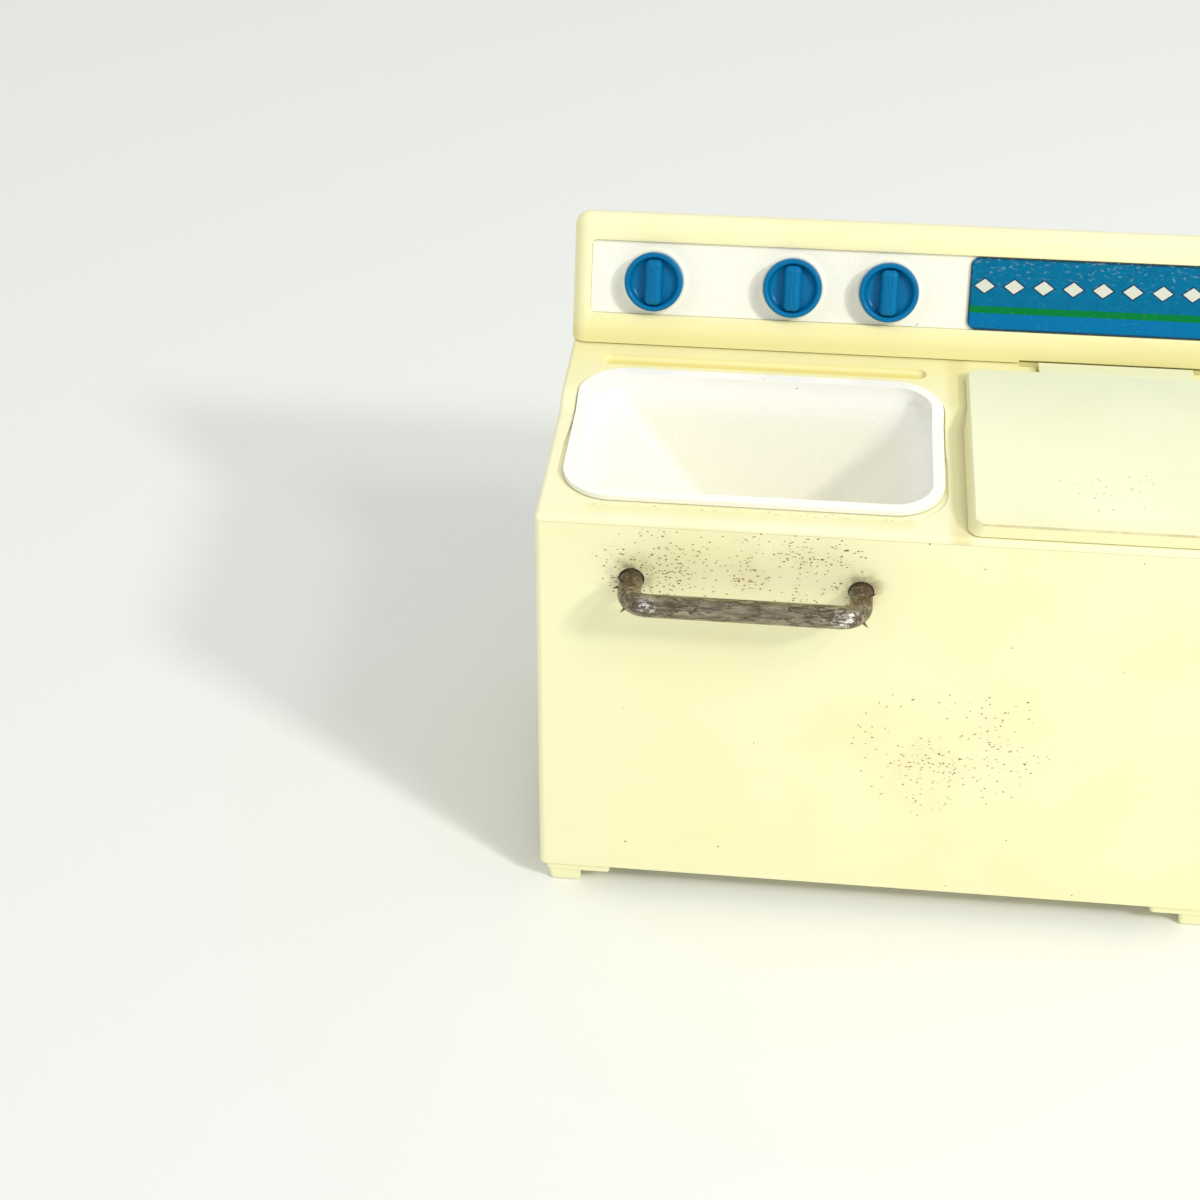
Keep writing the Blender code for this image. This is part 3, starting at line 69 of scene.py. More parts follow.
def lamp(name, place, aim, size, power, colour):
    """A square soft lamp aimed at a point."""
    light = bpy.data.lights.new(name, "AREA")
    light.size = size
    light.energy = power
    light.color = colour
    holder = bpy.data.objects.new(name, light)
    holder.location = place
    holder.rotation_euler = (Vector(aim) - Vector(place)).to_track_quat("-Z", "Y").to_euler()
    scene.collection.objects.link(holder)


lamp("key_high", (0.446, -0.416, 0.832), (0, 0, 0.04), 0.12, 1.35, (1.0, 0.985, 0.955))
lamp("key_low", (0.620, -0.480, 0.670), (0, 0, 0.04), 0.10, 3.75, (1.0, 0.985, 0.955))

room = bpy.data.worlds.new("pale_room")
scene.world = room
room.use_nodes = True
room_tree = room.node_tree
room_tree.nodes["Background"].inputs["Color"].default_value = (0.975, 0.985, 1.0, 1.0)
room_tree.nodes["Background"].inputs["Strength"].default_value = 0.77

bpy.ops.object.select_all(action="DESELECT")
bpy.ops.mesh.primitive_plane_add(size=6.0)
floor = bpy.context.object
floor.name = "paper_floor"
paper = bpy.data.materials.new("white_paper")
paper.use_nodes = True
paper_tree = paper.node_tree
paper_shader = paper_tree.nodes["Principled BSDF"]
paper_shader.inputs["Base Color"].default_value = (0.870, 0.880, 0.840, 1.0)
paper_shader.inputs["Roughness"].default_value = 0.75
paper_shader.inputs["Specular IOR Level"].default_value = 0.15
floor.data.materials.append(paper)

# The floor plate: one cream polystyrene moulding that closes the cabinet from below.
# A stepped foot under each corner carries the toy, and four screws hold the plate up.
ROUND = 8
HAIR = 0.00001


def only(piece):
    """Put one piece alone in the selection."""
    if bpy.context.object and bpy.context.object.mode != "OBJECT":
        bpy.ops.object.mode_set(mode="OBJECT")
    bpy.ops.object.select_all(action="DESELECT")
    piece.select_set(True)
    bpy.context.view_layer.objects.active = piece


def settle(piece):
    """Move a piece's place, turn and size into its mesh."""
    only(piece)
    bpy.ops.object.transform_apply(location=True, rotation=True, scale=True)
    return piece


def block(name, low, high):
    """Start a piece from a cube that fills the box between two corners."""
    bpy.ops.object.select_all(action="DESELECT")
    bpy.ops.mesh.primitive_cube_add(size=1)
    piece = bpy.context.object
    piece.name = name
    piece.location = (Vector(low) + Vector(high)) / 2
    piece.scale = Vector(high) - Vector(low)
    return settle(piece)


def pick(piece, part, test):
    """In edit mode, select the vertices, edges or faces whose middle and direction pass a test."""
    if bpy.context.object != piece or piece.mode != "EDIT":
        only(piece)
        bpy.ops.object.mode_set(mode="EDIT")
    bpy.ops.mesh.select_mode(type=part)
    bpy.ops.mesh.select_all(action="DESELECT")
    net = bmesh.from_edit_mesh(piece.data)
    if part == "VERT":
        found = [(vert, vert.co, vert.normal) for vert in net.verts]
    elif part == "EDGE":
        ends = [(edge, edge.verts[0].co, edge.verts[1].co) for edge in net.edges]
        found = [(edge, (a + b) / 2, (b - a).normalized()) for edge, a, b in ends]
    else:
        found = [(face, face.calc_center_median(), face.normal) for face in net.faces]
    for item, middle, way in found:
        if test(middle, way):
            item.select_set(True)
    net.select_flush_mode()
    bmesh.update_edit_mesh(piece.data)


def shift(x, y, z):
    """Slide what is selected."""
    bpy.ops.transform.translate(value=(x, y, z))


def stretch(x, y, z, middle):
    """Scale what is selected about a point."""
    bpy.ops.transform.resize(value=(x, y, z), center_override=middle)


def pull(x, y, z):
    """Extrude what is selected and slide it."""
    bpy.ops.mesh.extrude_region_move(TRANSFORM_OT_translate={"value": (x, y, z)})


def round_picked(radius, steps):
    """Round the selected edges to a full radius."""
    bpy.ops.mesh.bevel(offset=radius, segments=steps, profile=0.5, affect="EDGES")


def round_off(piece, radius, test, steps=ROUND):
    """Round the edges that pass a test."""
    pick(piece, "EDGE", test)
    bpy.ops.mesh.bevel(offset=radius, segments=steps, profile=0.5, affect="EDGES", clamp_overlap=True)


def score(piece, at, way):
    """Mark new edges right round a piece, through a point and square to a direction."""
    pick(piece, "VERT", lambda middle, direction: True)
    bpy.ops.mesh.bisect(plane_co=at, plane_no=way)


def rounded_block(name, low, high, radius, steps=ROUND):
    """A block with its four upright edges rounded."""
    piece = block(name, low, high)
    round_off(piece, radius, lambda middle, way: abs(way.z) > 0.9, steps)
    only(piece)
    return piece


def tube_block(name, start, end, radius, sides=32):
    """A round bar between two points."""
    start, end = Vector(start), Vector(end)
    bpy.ops.object.select_all(action="DESELECT")
    bpy.ops.mesh.primitive_cylinder_add(vertices=sides, radius=radius, depth=(end - start).length)
    piece = bpy.context.object
    piece.name = name
    piece.location = (start + end) / 2
    piece.rotation_euler = (end - start).to_track_quat("Z", "Y").to_euler()
    return settle(piece)


def carve(piece, tool, how="DIFFERENCE"):
    """Cut a tool out of a piece, or join it on, and drop the tool."""
    only(piece)
    change = piece.modifiers.new("carve", "BOOLEAN")
    change.operation = how
    change.solver = "EXACT"
    change.object = tool
    bpy.ops.object.modifier_apply(modifier=change.name)
    bpy.data.objects.remove(tool)


def soften(piece, radius, steps=3, angle=32.0):
    """Break the sharp edges of a moulding and smooth its shading."""
    only(piece)
    if radius:
        bpy.ops.object.mode_set(mode="EDIT")
        bpy.ops.mesh.select_mode(type="FACE")
        bpy.ops.mesh.select_face_by_sides(number=4, type="GREATER", extend=False)
        bpy.ops.mesh.quads_convert_to_tris(quad_method="BEAUTY", ngon_method="BEAUTY")
        only(piece)
        breaking = piece.modifiers.new("breaking", "BEVEL")
        breaking.width = radius
        breaking.segments = steps
        breaking.limit_method = "ANGLE"
        breaking.angle_limit = radians(angle)
        breaking.miter_outer = "MITER_ARC"
        bpy.ops.object.modifier_apply(modifier=breaking.name)
    bpy.ops.object.shade_smooth_by_angle(angle=radians(38))
    even = piece.modifiers.new("even", "WEIGHTED_NORMAL")
    even.keep_sharp = True
    bpy.ops.object.modifier_apply(modifier=even.name)


def reckon(tree, how, first, second):
    """One step of arithmetic on two numbers or sockets."""
    return add_node(tree, "Math", {0: first, 1: second}, operation=how).outputs[0]


def times(tree, first, second):
    """One number times another."""
    return reckon(tree, "MULTIPLY", first, second)


def apart(tree, first, second):
    """How far two numbers lie apart."""
    return reckon(tree, "ABSOLUTE", reckon(tree, "SUBTRACT", first, second), 0.0)


def axes_of(tree, place):
    """A place's x, y and z as three sockets."""
    return add_node(tree, "SeparateXYZ", {"Vector": place}).outputs


def noise(tree, place, scale, detail=3.0, rough=0.55):
    """Cloudy noise, 0 to 1."""
    values = {"Vector": place, "Scale": scale, "Detail": detail, "Roughness": rough}
    return add_node(tree, "TexNoise", values).outputs[0]


def between(tree, value, low, high, to_low=0.0, to_high=1.0):
    """Turn a range of a value smoothly into another range."""
    values = {"Value": value, "From Min": low, "From Max": high, "To Min": to_low, "To Max": to_high}
    return add_node(tree, "MapRange", values, interpolation_type="SMOOTHSTEP").outputs[0]


def blend(tree, share, first, second, how="MIX"):
    """Mix two colours."""
    values = {0: share, 6: first, 7: second}
    mixer = add_node(tree, "Mix", {}, data_type="RGBA", blend_type=how)
    for index, value in values.items():
        if isinstance(value, bpy.types.NodeSocket):
            tree.links.new(value, mixer.inputs[index])
        elif index == 0:
            mixer.inputs[index].default_value = value
        else:
            mixer.inputs[index].default_value = (*value, 1.0)
    return mixer.outputs[2]


def specks(tree, place, scale, chance, size):
    """Scattered specks of dirt with ragged outlines: 1 on a speck and 0 off it."""
    stir = add_node(tree, "TexNoise", {"Vector": place, "Scale": scale * 1.6, "Detail": 2.0})
    push = add_node(tree, "VectorMath", {0: stir.outputs["Color"], "Scale": 1.1 / scale}, operation="SCALE")
    ragged = add_node(tree, "VectorMath", {0: place, 1: push.outputs[0]}, operation="ADD").outputs[0]
    cells = add_node(tree, "TexVoronoi", {"Vector": ragged, "Scale": scale})
    luck = add_node(tree, "SeparateColor", {"Color": cells.outputs["Color"]})
    reach = times(tree, reckon(tree, "POWER", luck.outputs[1], 2.0), size)
    spot = reckon(tree, "LESS_THAN", cells.outputs["Distance"], reckon(tree, "ADD", reach, size * 0.25))
    return times(tree, spot, reckon(tree, "LESS_THAN", luck.outputs[0], chance))


def near_line(tree, place, left, right, level, reach, axis=2):
    """1 on a line from left to right at a level on another axis, fading to 0 at a reach from it."""
    axes = axes_of(tree, place)
    past_left = reckon(tree, "SUBTRACT", left, axes[0])
    past_right = reckon(tree, "SUBTRACT", axes[0], right)
    along = reckon(tree, "MAXIMUM", reckon(tree, "MAXIMUM", past_left, past_right), 0.0)
    across = reckon(tree, "SUBTRACT", axes[axis], level)
    span = reckon(tree, "ADD", times(tree, along, along), times(tree, across, across))
    return between(tree, reckon(tree, "SQRT", span, 0.0), reach * 0.15, reach, 1.0, 0.0)


def plastic(name, colour, aged, gloss, dirt_chance=0.012, waxy=0.0):
    """Moulded plastic with faint yellowing, hazed gloss, fine scratches and stray dirt."""
    material = bpy.data.materials.new(name)
    material.use_nodes = True
    tree = material.node_tree
    shader = tree.nodes["Principled BSDF"]
    place = add_node(tree, "TexCoord", {}).outputs["Object"]
    cloud = noise(tree, place, 55.0, 4.0)
    tone = blend(tree, between(tree, cloud, 0.38, 0.72), colour, aged)
    dirt = specks(tree, place, 620.0, dirt_chance, 0.13)
    tone = blend(tree, times(tree, dirt, 0.85), tone, (0.10, 0.065, 0.03))
    haze = noise(tree, place, 210.0, 5.0)
    grain = noise(tree, place, 2600.0, 2.0)
    scratch_place = add_node(tree, "Mapping", {"Vector": place, "Scale": (1.0, 3.0, 5.0),
                                               "Rotation": (0.3, 0.2, 0.5)}).outputs[0]
    lines = noise(tree, scratch_place, 330.0, 1.5)
    scratch = between(tree, apart(tree, lines, 0.5), 0.0, 0.006, 1.0, 0.0)
    rough = reckon(tree, "ADD", between(tree, haze, 0.3, 0.75, gloss - 0.05, gloss + 0.09),
                   times(tree, scratch, 0.06))
    tree.links.new(rough, shader.inputs["Roughness"])
    height = reckon(tree, "ADD", times(tree, cloud, 1.0), times(tree, grain, 0.05))
    height = reckon(tree, "SUBTRACT", height, times(tree, scratch, 0.005))
    bump = add_node(tree, "Bump", {"Height": height, "Strength": 0.35, "Distance": 0.0003})
    tree.links.new(bump.outputs[0], shader.inputs["Normal"])
    tree.links.new(tone, shader.inputs["Base Color"])
    shader.inputs["Subsurface Weight"].default_value = waxy
    shader.inputs["Subsurface Radius"].default_value = (0.0012, 0.0010, 0.0005)
    shader.inputs["Subsurface Scale"].default_value = 1.0
    shader.inputs["IOR"].default_value = 1.5
    return material


def stain(material, share, colour):
    """Lay a stain over a plastic's colour, by a mask that already is in its tree."""
    tree = material.node_tree
    shader = tree.nodes["Principled BSDF"]
    under = shader.inputs["Base Color"].links[0].from_socket
    tree.links.new(blend(tree, share, under, colour), shader.inputs["Base Color"])


def place_of(material):
    """The object coordinates that a plastic's patterns already use."""
    tree = material.node_tree
    return next(node for node in tree.nodes if node.bl_idname == "ShaderNodeTexCoord").outputs["Object"]


def crevice_grime_and_shade(material, reach, share, colour):
    """Painted shade with brown dirt: darkens a piece's own corners, seams and hollows where ambient occlusion
    is deepest.
    """
    tree = material.node_tree
    corner = add_node(tree, "AmbientOcclusion", {"Distance": reach}, samples=6, only_local=True)
    patchy = between(tree, noise(tree, place_of(material), 300.0, 4.0), 0.35, 0.65, 0.35, 1.0)
    depth = between(tree, corner.outputs["AO"], 0.15, 0.75, share, 0.0)
    stain(material, times(tree, depth, patchy), colour)


def fit(piece, material, body, slot, *nodes):
    """Give a finished piece its finish and put it in the place of its CAD nodes."""
    only(piece)
    piece.data.materials.clear()
    piece.data.materials.append(material)
    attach(piece, body)
    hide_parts(*nodes)


IVORY = (0.945, 0.910, 0.560)
IVORY_AGED = (0.940, 0.890, 0.510)
plate_ivory = plastic("ivory_floor_plate", IVORY, IVORY_AGED, 0.36)
# Painted shade with dirt in the floor plate's corners.
crevice_grime_and_shade(plate_ivory, 0.0015, 0.5, (0.20, 0.13, 0.06))

DEPTH_MIDDLE = 0.003825
FLANGE_UNDER = 0.0026
STUB_TAPER = 0.82


def foot_block(name, side, end, outer, inner, low, high, radius):
    """A rounded block at one corner of the plate, between its outer and its inner corner."""
    a = (side * outer[0], DEPTH_MIDDLE + end * outer[1])
    b = (side * inner[0], DEPTH_MIDDLE + end * inner[1])
    return rounded_block(name, (min(a[0], b[0]), min(a[1], b[1]), low),
                         (max(a[0], b[0]), max(a[1], b[1]), high), radius, 5)


floor_plate = rounded_block("floor_plate", (-0.0512, -0.0223, 0.0050), (0.0512, 0.0299, 0.0066), 0.0008, 4)
for side, end in ((-1, -1), (-1, 1), (1, -1), (1, 1)):
    flange = foot_block("flange", side, end, (0.0521, 0.0275), (0.0420, 0.0189),
                        FLANGE_UNDER, 0.00425, 0.0006)
    round_off(flange, 0.0005, lambda middle, way: middle.z < FLANGE_UNDER + HAIR, 4)
    only(flange)
    stub = foot_block("stub", side, end, (0.0520, 0.0274), (0.0464, 0.0218), 0.0, 0.0040, 0.0006)
    pick(stub, "VERT", lambda middle, way: middle.z < HAIR)
    stretch(STUB_TAPER, STUB_TAPER, 1.0, (side * 0.0492, DEPTH_MIDDLE + end * 0.0246, 0.0))
    round_off(stub, 0.0006, lambda middle, way: middle.z < HAIR, 4)
    only(stub)
    neck = foot_block("neck", side, end, (0.0508, 0.0256), (0.0466, 0.0220), 0.0030, 0.0060, 0.0004)
    for part in (neck, flange, stub):
        carve(floor_plate, part, "UNION")
SCREW_BORE = 0.0010
screw_places = [(x, y) for x in (-0.036, 0.036) for y in (-0.019975, 0.027625)]
for x, y in screw_places:
    carve(floor_plate, tube_block("head_recess", (x, y, 0.0040), (x, y, 0.0056), 0.0018))
    carve(floor_plate, tube_block("clearance_hole", (x, y, 0.0040), (x, y, 0.0076), SCREW_BORE, 20))
soften(floor_plate, 0.00012, 2)
fit(floor_plate, plate_ivory, "body", "ivory_plastic", "base_plate")

# The screws: small plated pan-head screws with a cross recess, cut with a rolled thread.
# Four hold the floor plate, two hold the back panel from below and two its rear cover.


def metal(name, colour, gloss, wear, wear_share):
    """Plated metal with rubbed and tarnished patches."""
    material = bpy.data.materials.new(name)
    material.use_nodes = True
    tree = material.node_tree
    shader = tree.nodes["Principled BSDF"]
    place = add_node(tree, "TexCoord", {}).outputs["Object"]
    cloud = noise(tree, place, 900.0, 5.0)
    worn = between(tree, cloud, 0.62 - wear_share, 0.72 - wear_share * 0.5)
    tree.links.new(blend(tree, worn, colour, wear), shader.inputs["Base Color"])
    tree.links.new(between(tree, cloud, 0.3, 0.8, gloss, gloss + 0.25), shader.inputs["Roughness"])
    shader.inputs["Metallic"].default_value = 1.0
    bump = add_node(tree, "Bump", {"Height": cloud, "Strength": 0.25, "Distance": 0.00005})
    tree.links.new(bump.outputs[0], shader.inputs["Normal"])
    return material


screw_steel = metal("zinc_plated_screw", (0.62, 0.61, 0.58), 0.28, (0.33, 0.25, 0.16), 0.06)


def turned(name, outline, middle, sides=48):
    """A turned piece: an outline of (radius, height) points spun about an upright axis."""
    bpy.ops.object.select_all(action="DESELECT")
    bpy.ops.mesh.primitive_plane_add(size=0.0001)
    piece = bpy.context.object
    piece.name = name
    bpy.ops.object.mode_set(mode="EDIT")
    bpy.ops.mesh.select_mode(type="VERT")
    bpy.ops.mesh.select_all(action="SELECT")
    bpy.ops.mesh.merge(type="CENTER")
    shift(outline[0][0], 0, outline[0][1])
    for (radius, height), (next_radius, next_height) in zip(outline, outline[1:]):
        pull(next_radius - radius, 0, next_height - height)
    bpy.ops.mesh.select_all(action="SELECT")
    bpy.ops.mesh.spin(steps=sides, angle=2 * pi, center=(0, 0, 0), axis=(0, 0, 1), use_auto_merge=True)
    bpy.ops.mesh.select_all(action="SELECT")
    bpy.ops.mesh.remove_doubles(threshold=HAIR / 2)
    bpy.ops.mesh.normals_make_consistent(inside=False)
    only(piece)
    piece.location = middle
    return settle(piece)


def screw(name, node, length, place):
    """One screw, head down and point up, then laid where it belongs."""
    thread = []
    height = 0.0003
    while height < length - 0.0014:
        thread += [(0.00060, height), (0.00080, height + 0.0002), (0.00080, height + 0.00026)]
        height += 0.0005
    head = [(0.0, -0.0011), (0.0007, -0.00107), (0.0012, -0.00092), (0.0015, -0.00062),
            (0.0016, -0.0002), (0.0016, 0.0), (0.0008, 0.0)]
    point = [(0.0006, length - 0.0011), (0.0, length)]
    piece = turned(name, head + thread + point, (0, 0, 0), 24)
    carve(piece, block("recess_arm", (-0.0009, -0.0002, -0.0016), (0.0009, 0.0002, -0.0006)))
    carve(piece, block("recess_arm", (-0.0002, -0.0009, -0.0016), (0.0002, 0.0009, -0.0006)))
    soften(piece, 0.0)
    piece.matrix_world = place
    settle(piece)
    fit(piece, screw_steel, "body", "plated_steel", node)


for (x, y), end in zip(screw_places, ("front_left", "rear_left", "front_right", "rear_right")):
    screw("plate_screw_" + end, "base_screw_" + end, 0.0080, Matrix.Translation((x, y, 0.0054)))

# The cabinet: four polystyrene walls moulded in one, a little wider at the foot than at the top.
# Dirt has gathered round the towel rail's posts, and specks are scattered over the front.
WALL = 0.0014
CASE_FOOT_SIDE = 0.0531
CASE_SIDE = 0.052
CASE_FRONT = -0.024175
CASE_BACK = 0.031825
cabinet = block("cabinet_walls", (-CASE_SIDE, CASE_FRONT, 0.0045), (CASE_SIDE, CASE_BACK, 0.0708))
pick(cabinet, "VERT", lambda middle, way: middle.z < 0.01)
stretch(CASE_FOOT_SIDE / CASE_SIDE, 1.0, 1.0, (0, 0, 0))
round_off(cabinet, 0.0010, lambda middle, way: abs(way.z) > 0.9, 6)
pick(cabinet, "FACE", lambda middle, way: abs(way.z) > 0.9)
bpy.ops.mesh.delete(type="FACE")
only(cabinet)
walls = cabinet.modifiers.new("walls", "SOLIDIFY")
walls.thickness = WALL
walls.offset = -1.0
walls.use_even_offset = True
bpy.ops.object.modifier_apply(modifier="walls")
round_off(cabinet, 0.0008, lambda middle, way: middle.z < 0.0046 and (
    abs(middle.x) > 0.0524 or abs(middle.y - DEPTH_MIDDLE) > 0.0273), 5)
only(cabinet)
for x, y in screw_places:
    wall_y = -0.0236 if y < 0 else 0.0312
    post = tube_block("post", (x, y, 0.00685), (x, y, 0.01885), 0.0023)
    web = block("web", (x - 0.0007, min(y, wall_y), 0.00686), (x + 0.0007, max(y, wall_y), 0.0181))
    carve(post, web, "UNION")
    carve(post, tube_block("pilot", (x, y, 0.0060), (x, y, 0.0140), SCREW_BORE, 20))
    carve(cabinet, post, "UNION")
rail_posts = (-0.0384, -0.0062)
RAIL_Z = 0.0618
for x in rail_posts:
    carve(cabinet, tube_block("post_hole", (x, -0.0260, RAIL_Z), (x, -0.0215, RAIL_Z), 0.00182, 48))
soften(cabinet, 0.00015, 2)

cabinet_ivory = plastic("ivory_cabinet", IVORY, IVORY_AGED, 0.34, 0.045)
tree = cabinet_ivory.node_tree
place = place_of(cabinet_ivory)
axes = axes_of(tree, place)
front = reckon(tree, "LESS_THAN", axes[1], -0.020)
rail_dirt = near_line(tree, place, -0.0360, -0.0110, 0.0648, 0.0095)
lower_dirt = near_line(tree, place, 0.0060, 0.0110, 0.0335, 0.0150)
clumps = between(tree, noise(tree, place, 190.0, 4.0), 0.42, 0.60)
thick = reckon(tree, "MAXIMUM", rail_dirt, times(tree, lower_dirt, 0.60))
thick = times(tree, thick, reckon(tree, "ADD", times(tree, clumps, 0.75), 0.12))
thick = times(tree, thick, front)
slanted = add_node(tree, "Mapping", {"Vector": place, "Rotation": (0, 0.5, 0),
                                     "Scale": (0.7, 1.0, 1.2)}).outputs[0]
fine = specks(tree, slanted, 3500.0, times(tree, thick, 0.85), 0.38)
coarse = specks(tree, slanted, 2000.0, times(tree, thick, 0.28), 0.32)
stain(cabinet_ivory, times(tree, thick, 0.18), (0.62, 0.52, 0.22))
stain(cabinet_ivory, times(tree, fine, 0.94), (0.20, 0.10, 0.010))
stain(cabinet_ivory, times(tree, coarse, 0.92), (0.085, 0.042, 0.006))
for x in rail_posts:
    ring = near_line(tree, place, x - 0.0001, x + 0.0001, 0.0624, 0.0042)
    smear = between(tree, noise(tree, place, 500.0, 5.0), 0.35, 0.65, 0.15, 0.85)
    smear = times(tree, smear, front)
    stain(cabinet_ivory, times(tree, ring, smear), (0.20, 0.15, 0.07))
fit(cabinet, cabinet_ivory, "body", "ivory_plastic", "cabinet_shell")

# The towel rail: a plastic rod bent like a handle, once plated silver.
# The plating is rubbed brown and peels in slivers, worst at the posts that plug into the cabinet.
RAIL_RADIUS = 0.00165
RAIL_BEND = 0.0027
RAIL_FRONT = -0.030175
post_length = CASE_FRONT - RAIL_FRONT - RAIL_BEND
bpy.ops.object.select_all(action="DESELECT")
bpy.ops.mesh.primitive_circle_add(vertices=32, radius=RAIL_RADIUS, fill_type="NGON")
rail = bpy.context.object
rail.name = "silver_towel_rail"
rail.rotation_euler = (pi / 2, 0, 0)
rail.location = (rail_posts[0], -0.021775, RAIL_Z)
settle(rail)
bpy.ops.object.mode_set(mode="EDIT")
bpy.ops.mesh.select_mode(type="FACE")
bpy.ops.mesh.select_all(action="SELECT")
pull(0, -0.0024, 0)
for step in range(6):
    pull(0, -post_length / 6, 0)
bpy.ops.mesh.spin(steps=10, angle=-pi / 2, center=(rail_posts[0] + RAIL_BEND, RAIL_FRONT + RAIL_BEND, RAIL_Z),
                  axis=(0, 0, 1))
for step in range(24):
    pull((rail_posts[1] - rail_posts[0] - 2 * RAIL_BEND) / 24, 0, 0)
bpy.ops.mesh.spin(steps=10, angle=-pi / 2, center=(rail_posts[1] - RAIL_BEND, RAIL_FRONT + RAIL_BEND, RAIL_Z),
                  axis=(0, 0, 1))
for step in range(6):
    pull(0, post_length / 6, 0)
pull(0, 0.0024, 0)
bpy.ops.mesh.select_all(action="SELECT")
bpy.ops.mesh.remove_doubles(threshold=HAIR)
bpy.ops.mesh.normals_make_consistent(inside=False)
only(rail)
flake_places = [(-0.0405, -0.0257, 0.0612, -1.65), (-0.0399, -0.0263, 0.0633, -0.7),
                (-0.0391, -0.0298, 0.0604, -2.3), (-0.0046, -0.0262, 0.0630, 0.9),
                (-0.0054, -0.0297, 0.0603, 2.3), (-0.0290, -0.0302, 0.0602, 2.7)]
for x, y, z, turn in flake_places:
    bpy.ops.object.select_all(action="DESELECT")
    bpy.ops.mesh.primitive_cone_add(vertices=5, radius1=0.00026, radius2=0.00004, depth=0.0009)
    flake = bpy.context.object
    flake.location = (x, y, z)
    flake.rotation_euler = (0.3, turn, 0)
    settle(flake)
    rail.select_set(True)
    bpy.context.view_layer.objects.active = rail
    bpy.ops.object.join()
soften(rail, 0.0)

silver = bpy.data.materials.new("worn_silver_plating")
silver.use_nodes = True
tree = silver.node_tree
shader = tree.nodes["Principled BSDF"]
place = add_node(tree, "TexCoord", {}).outputs["Object"]
along = add_node(tree, "Mapping", {"Vector": place, "Scale": (0.20, 0.8, 1.0)}).outputs[0]
streak = noise(tree, along, 1500.0, 6.0)
vein = apart(tree, noise(tree, along, 1000.0, 5.0), 0.5)
crack = between(tree, vein, 0.008, 0.040, 0.95, 0.0)
axes = axes_of(tree, place)
from_middle = apart(tree, axes[0], -0.0223)
to_end = between(tree, from_middle, 0.0120, 0.0165)
to_post = between(tree, axes[1], -0.0300, -0.0262)
bare = times(tree, to_end, reckon(tree, "ADD", times(tree, to_post, 0.55), 0.45))
worn = between(tree, reckon(tree, "ADD", noise(tree, place, 1500.0, 6.0), times(tree, bare, 0.24)),
               0.60, 0.76)
worn = reckon(tree, "MAXIMUM", worn, crack)
plate = blend(tree, between(tree, streak, 0.30, 0.70), (0.165, 0.135, 0.088), (0.405, 0.350, 0.245))
# Painted highlights: bright patches at the two bends stand in for glints.
glint_flecks = between(tree, noise(tree, place, 1500.0, 4.0), 0.46, 0.54)
for left, right, level, reach in ((-0.0362, -0.0350, 0.0626, 0.0010), (-0.0092, -0.0078, 0.0622, 0.0013)):
    glint_patch = near_line(tree, place, left, right, level, reach)
    plate = blend(tree, times(tree, glint_patch, glint_flecks), plate, (0.95, 0.94, 0.90))
tree.links.new(blend(tree, worn, plate, (0.070, 0.040, 0.018)), shader.inputs["Base Color"])
tree.links.new(between(tree, worn, 0.0, 1.0, 0.85, 0.05), shader.inputs["Metallic"])
tree.links.new(between(tree, streak, 0.3, 0.8, 0.10, 0.26), shader.inputs["Roughness"])
height = reckon(tree, "SUBTRACT", times(tree, streak, 0.4), worn)
bump = add_node(tree, "Bump", {"Height": height, "Strength": 0.6, "Distance": 0.00014})
tree.links.new(bump.outputs[0], shader.inputs["Normal"])
fit(rail, silver, "body", "worn_silver_plating", "towel_rail")

# The wash tub: a white polystyrene pot that drops into the deck and hangs by its lip.
# Its floor has a boss, bored for the agitator's steel axle.
TUB = (0.0288, -0.003833, 0.0)
tub_white = plastic("white_tub", (0.88, 0.88, 0.83), (0.86, 0.845, 0.77), 0.26, 0.006)
tub = turned("white_wash_tub", [
    (0.0012, 0.03585), (0.0118, 0.03585), (0.0130, 0.0363), (0.01384, 0.03785), (0.01504, 0.07215),
    (0.01724, 0.07215), (0.01724, 0.07268), (0.01716, 0.07288), (0.01697, 0.07295), (0.01410, 0.07295),
    (0.01398, 0.07290), (0.01394, 0.07275), (0.01330, 0.05500), (0.01274, 0.03895), (0.0124, 0.0378),
    (0.0117, 0.0371), (0.01074, 0.03695), (0.0030, 0.03695), (0.0026, 0.0373), (0.0026, 0.03985),
    (0.0025, 0.03995), (0.0013, 0.03995), (0.0012, 0.03985), (0.0012, 0.03585)], TUB, 96)
soften(tub, 0.0)
# Painted shade with dirt inside the tub and in its corners.
crevice_grime_and_shade(tub_white, 0.0030, 0.35, (0.30, 0.24, 0.14))
fit(tub, tub_white, "body", "white_plastic", "wash_tub")

# The agitator: a blue finned disc with a tapered hub, pressed over a steel axle.
# A push-on washer under the tub keeps the axle in its boss.
KNOB_BLUE = (0.0, 0.170, 0.385)
KNOB_BLUE_DEEP = (0.0, 0.150, 0.350)
agitator_blue = plastic("blue_agitator", KNOB_BLUE, KNOB_BLUE_DEEP, 0.30, 0.004)
hub = turned("blue_finned_agitator", [
    (0.0012, 0.0), (0.0101, 0.0), (0.0105, 0.0003), (0.01054, 0.0007), (0.0103, 0.00105),
    (0.0098, 0.0012), (0.0046, 0.0014), (0.0038, 0.0017), (0.0034, 0.0024), (0.0029, 0.0060),
    (0.0023, 0.0105), (0.0019, 0.0118), (0.0012, 0.0123), (0.0, 0.0125), (0.0, 0.0064),
    (0.0011, 0.0064), (0.0012, 0.0062), (0.0012, 0.0)], (0, 0, 0), 64)
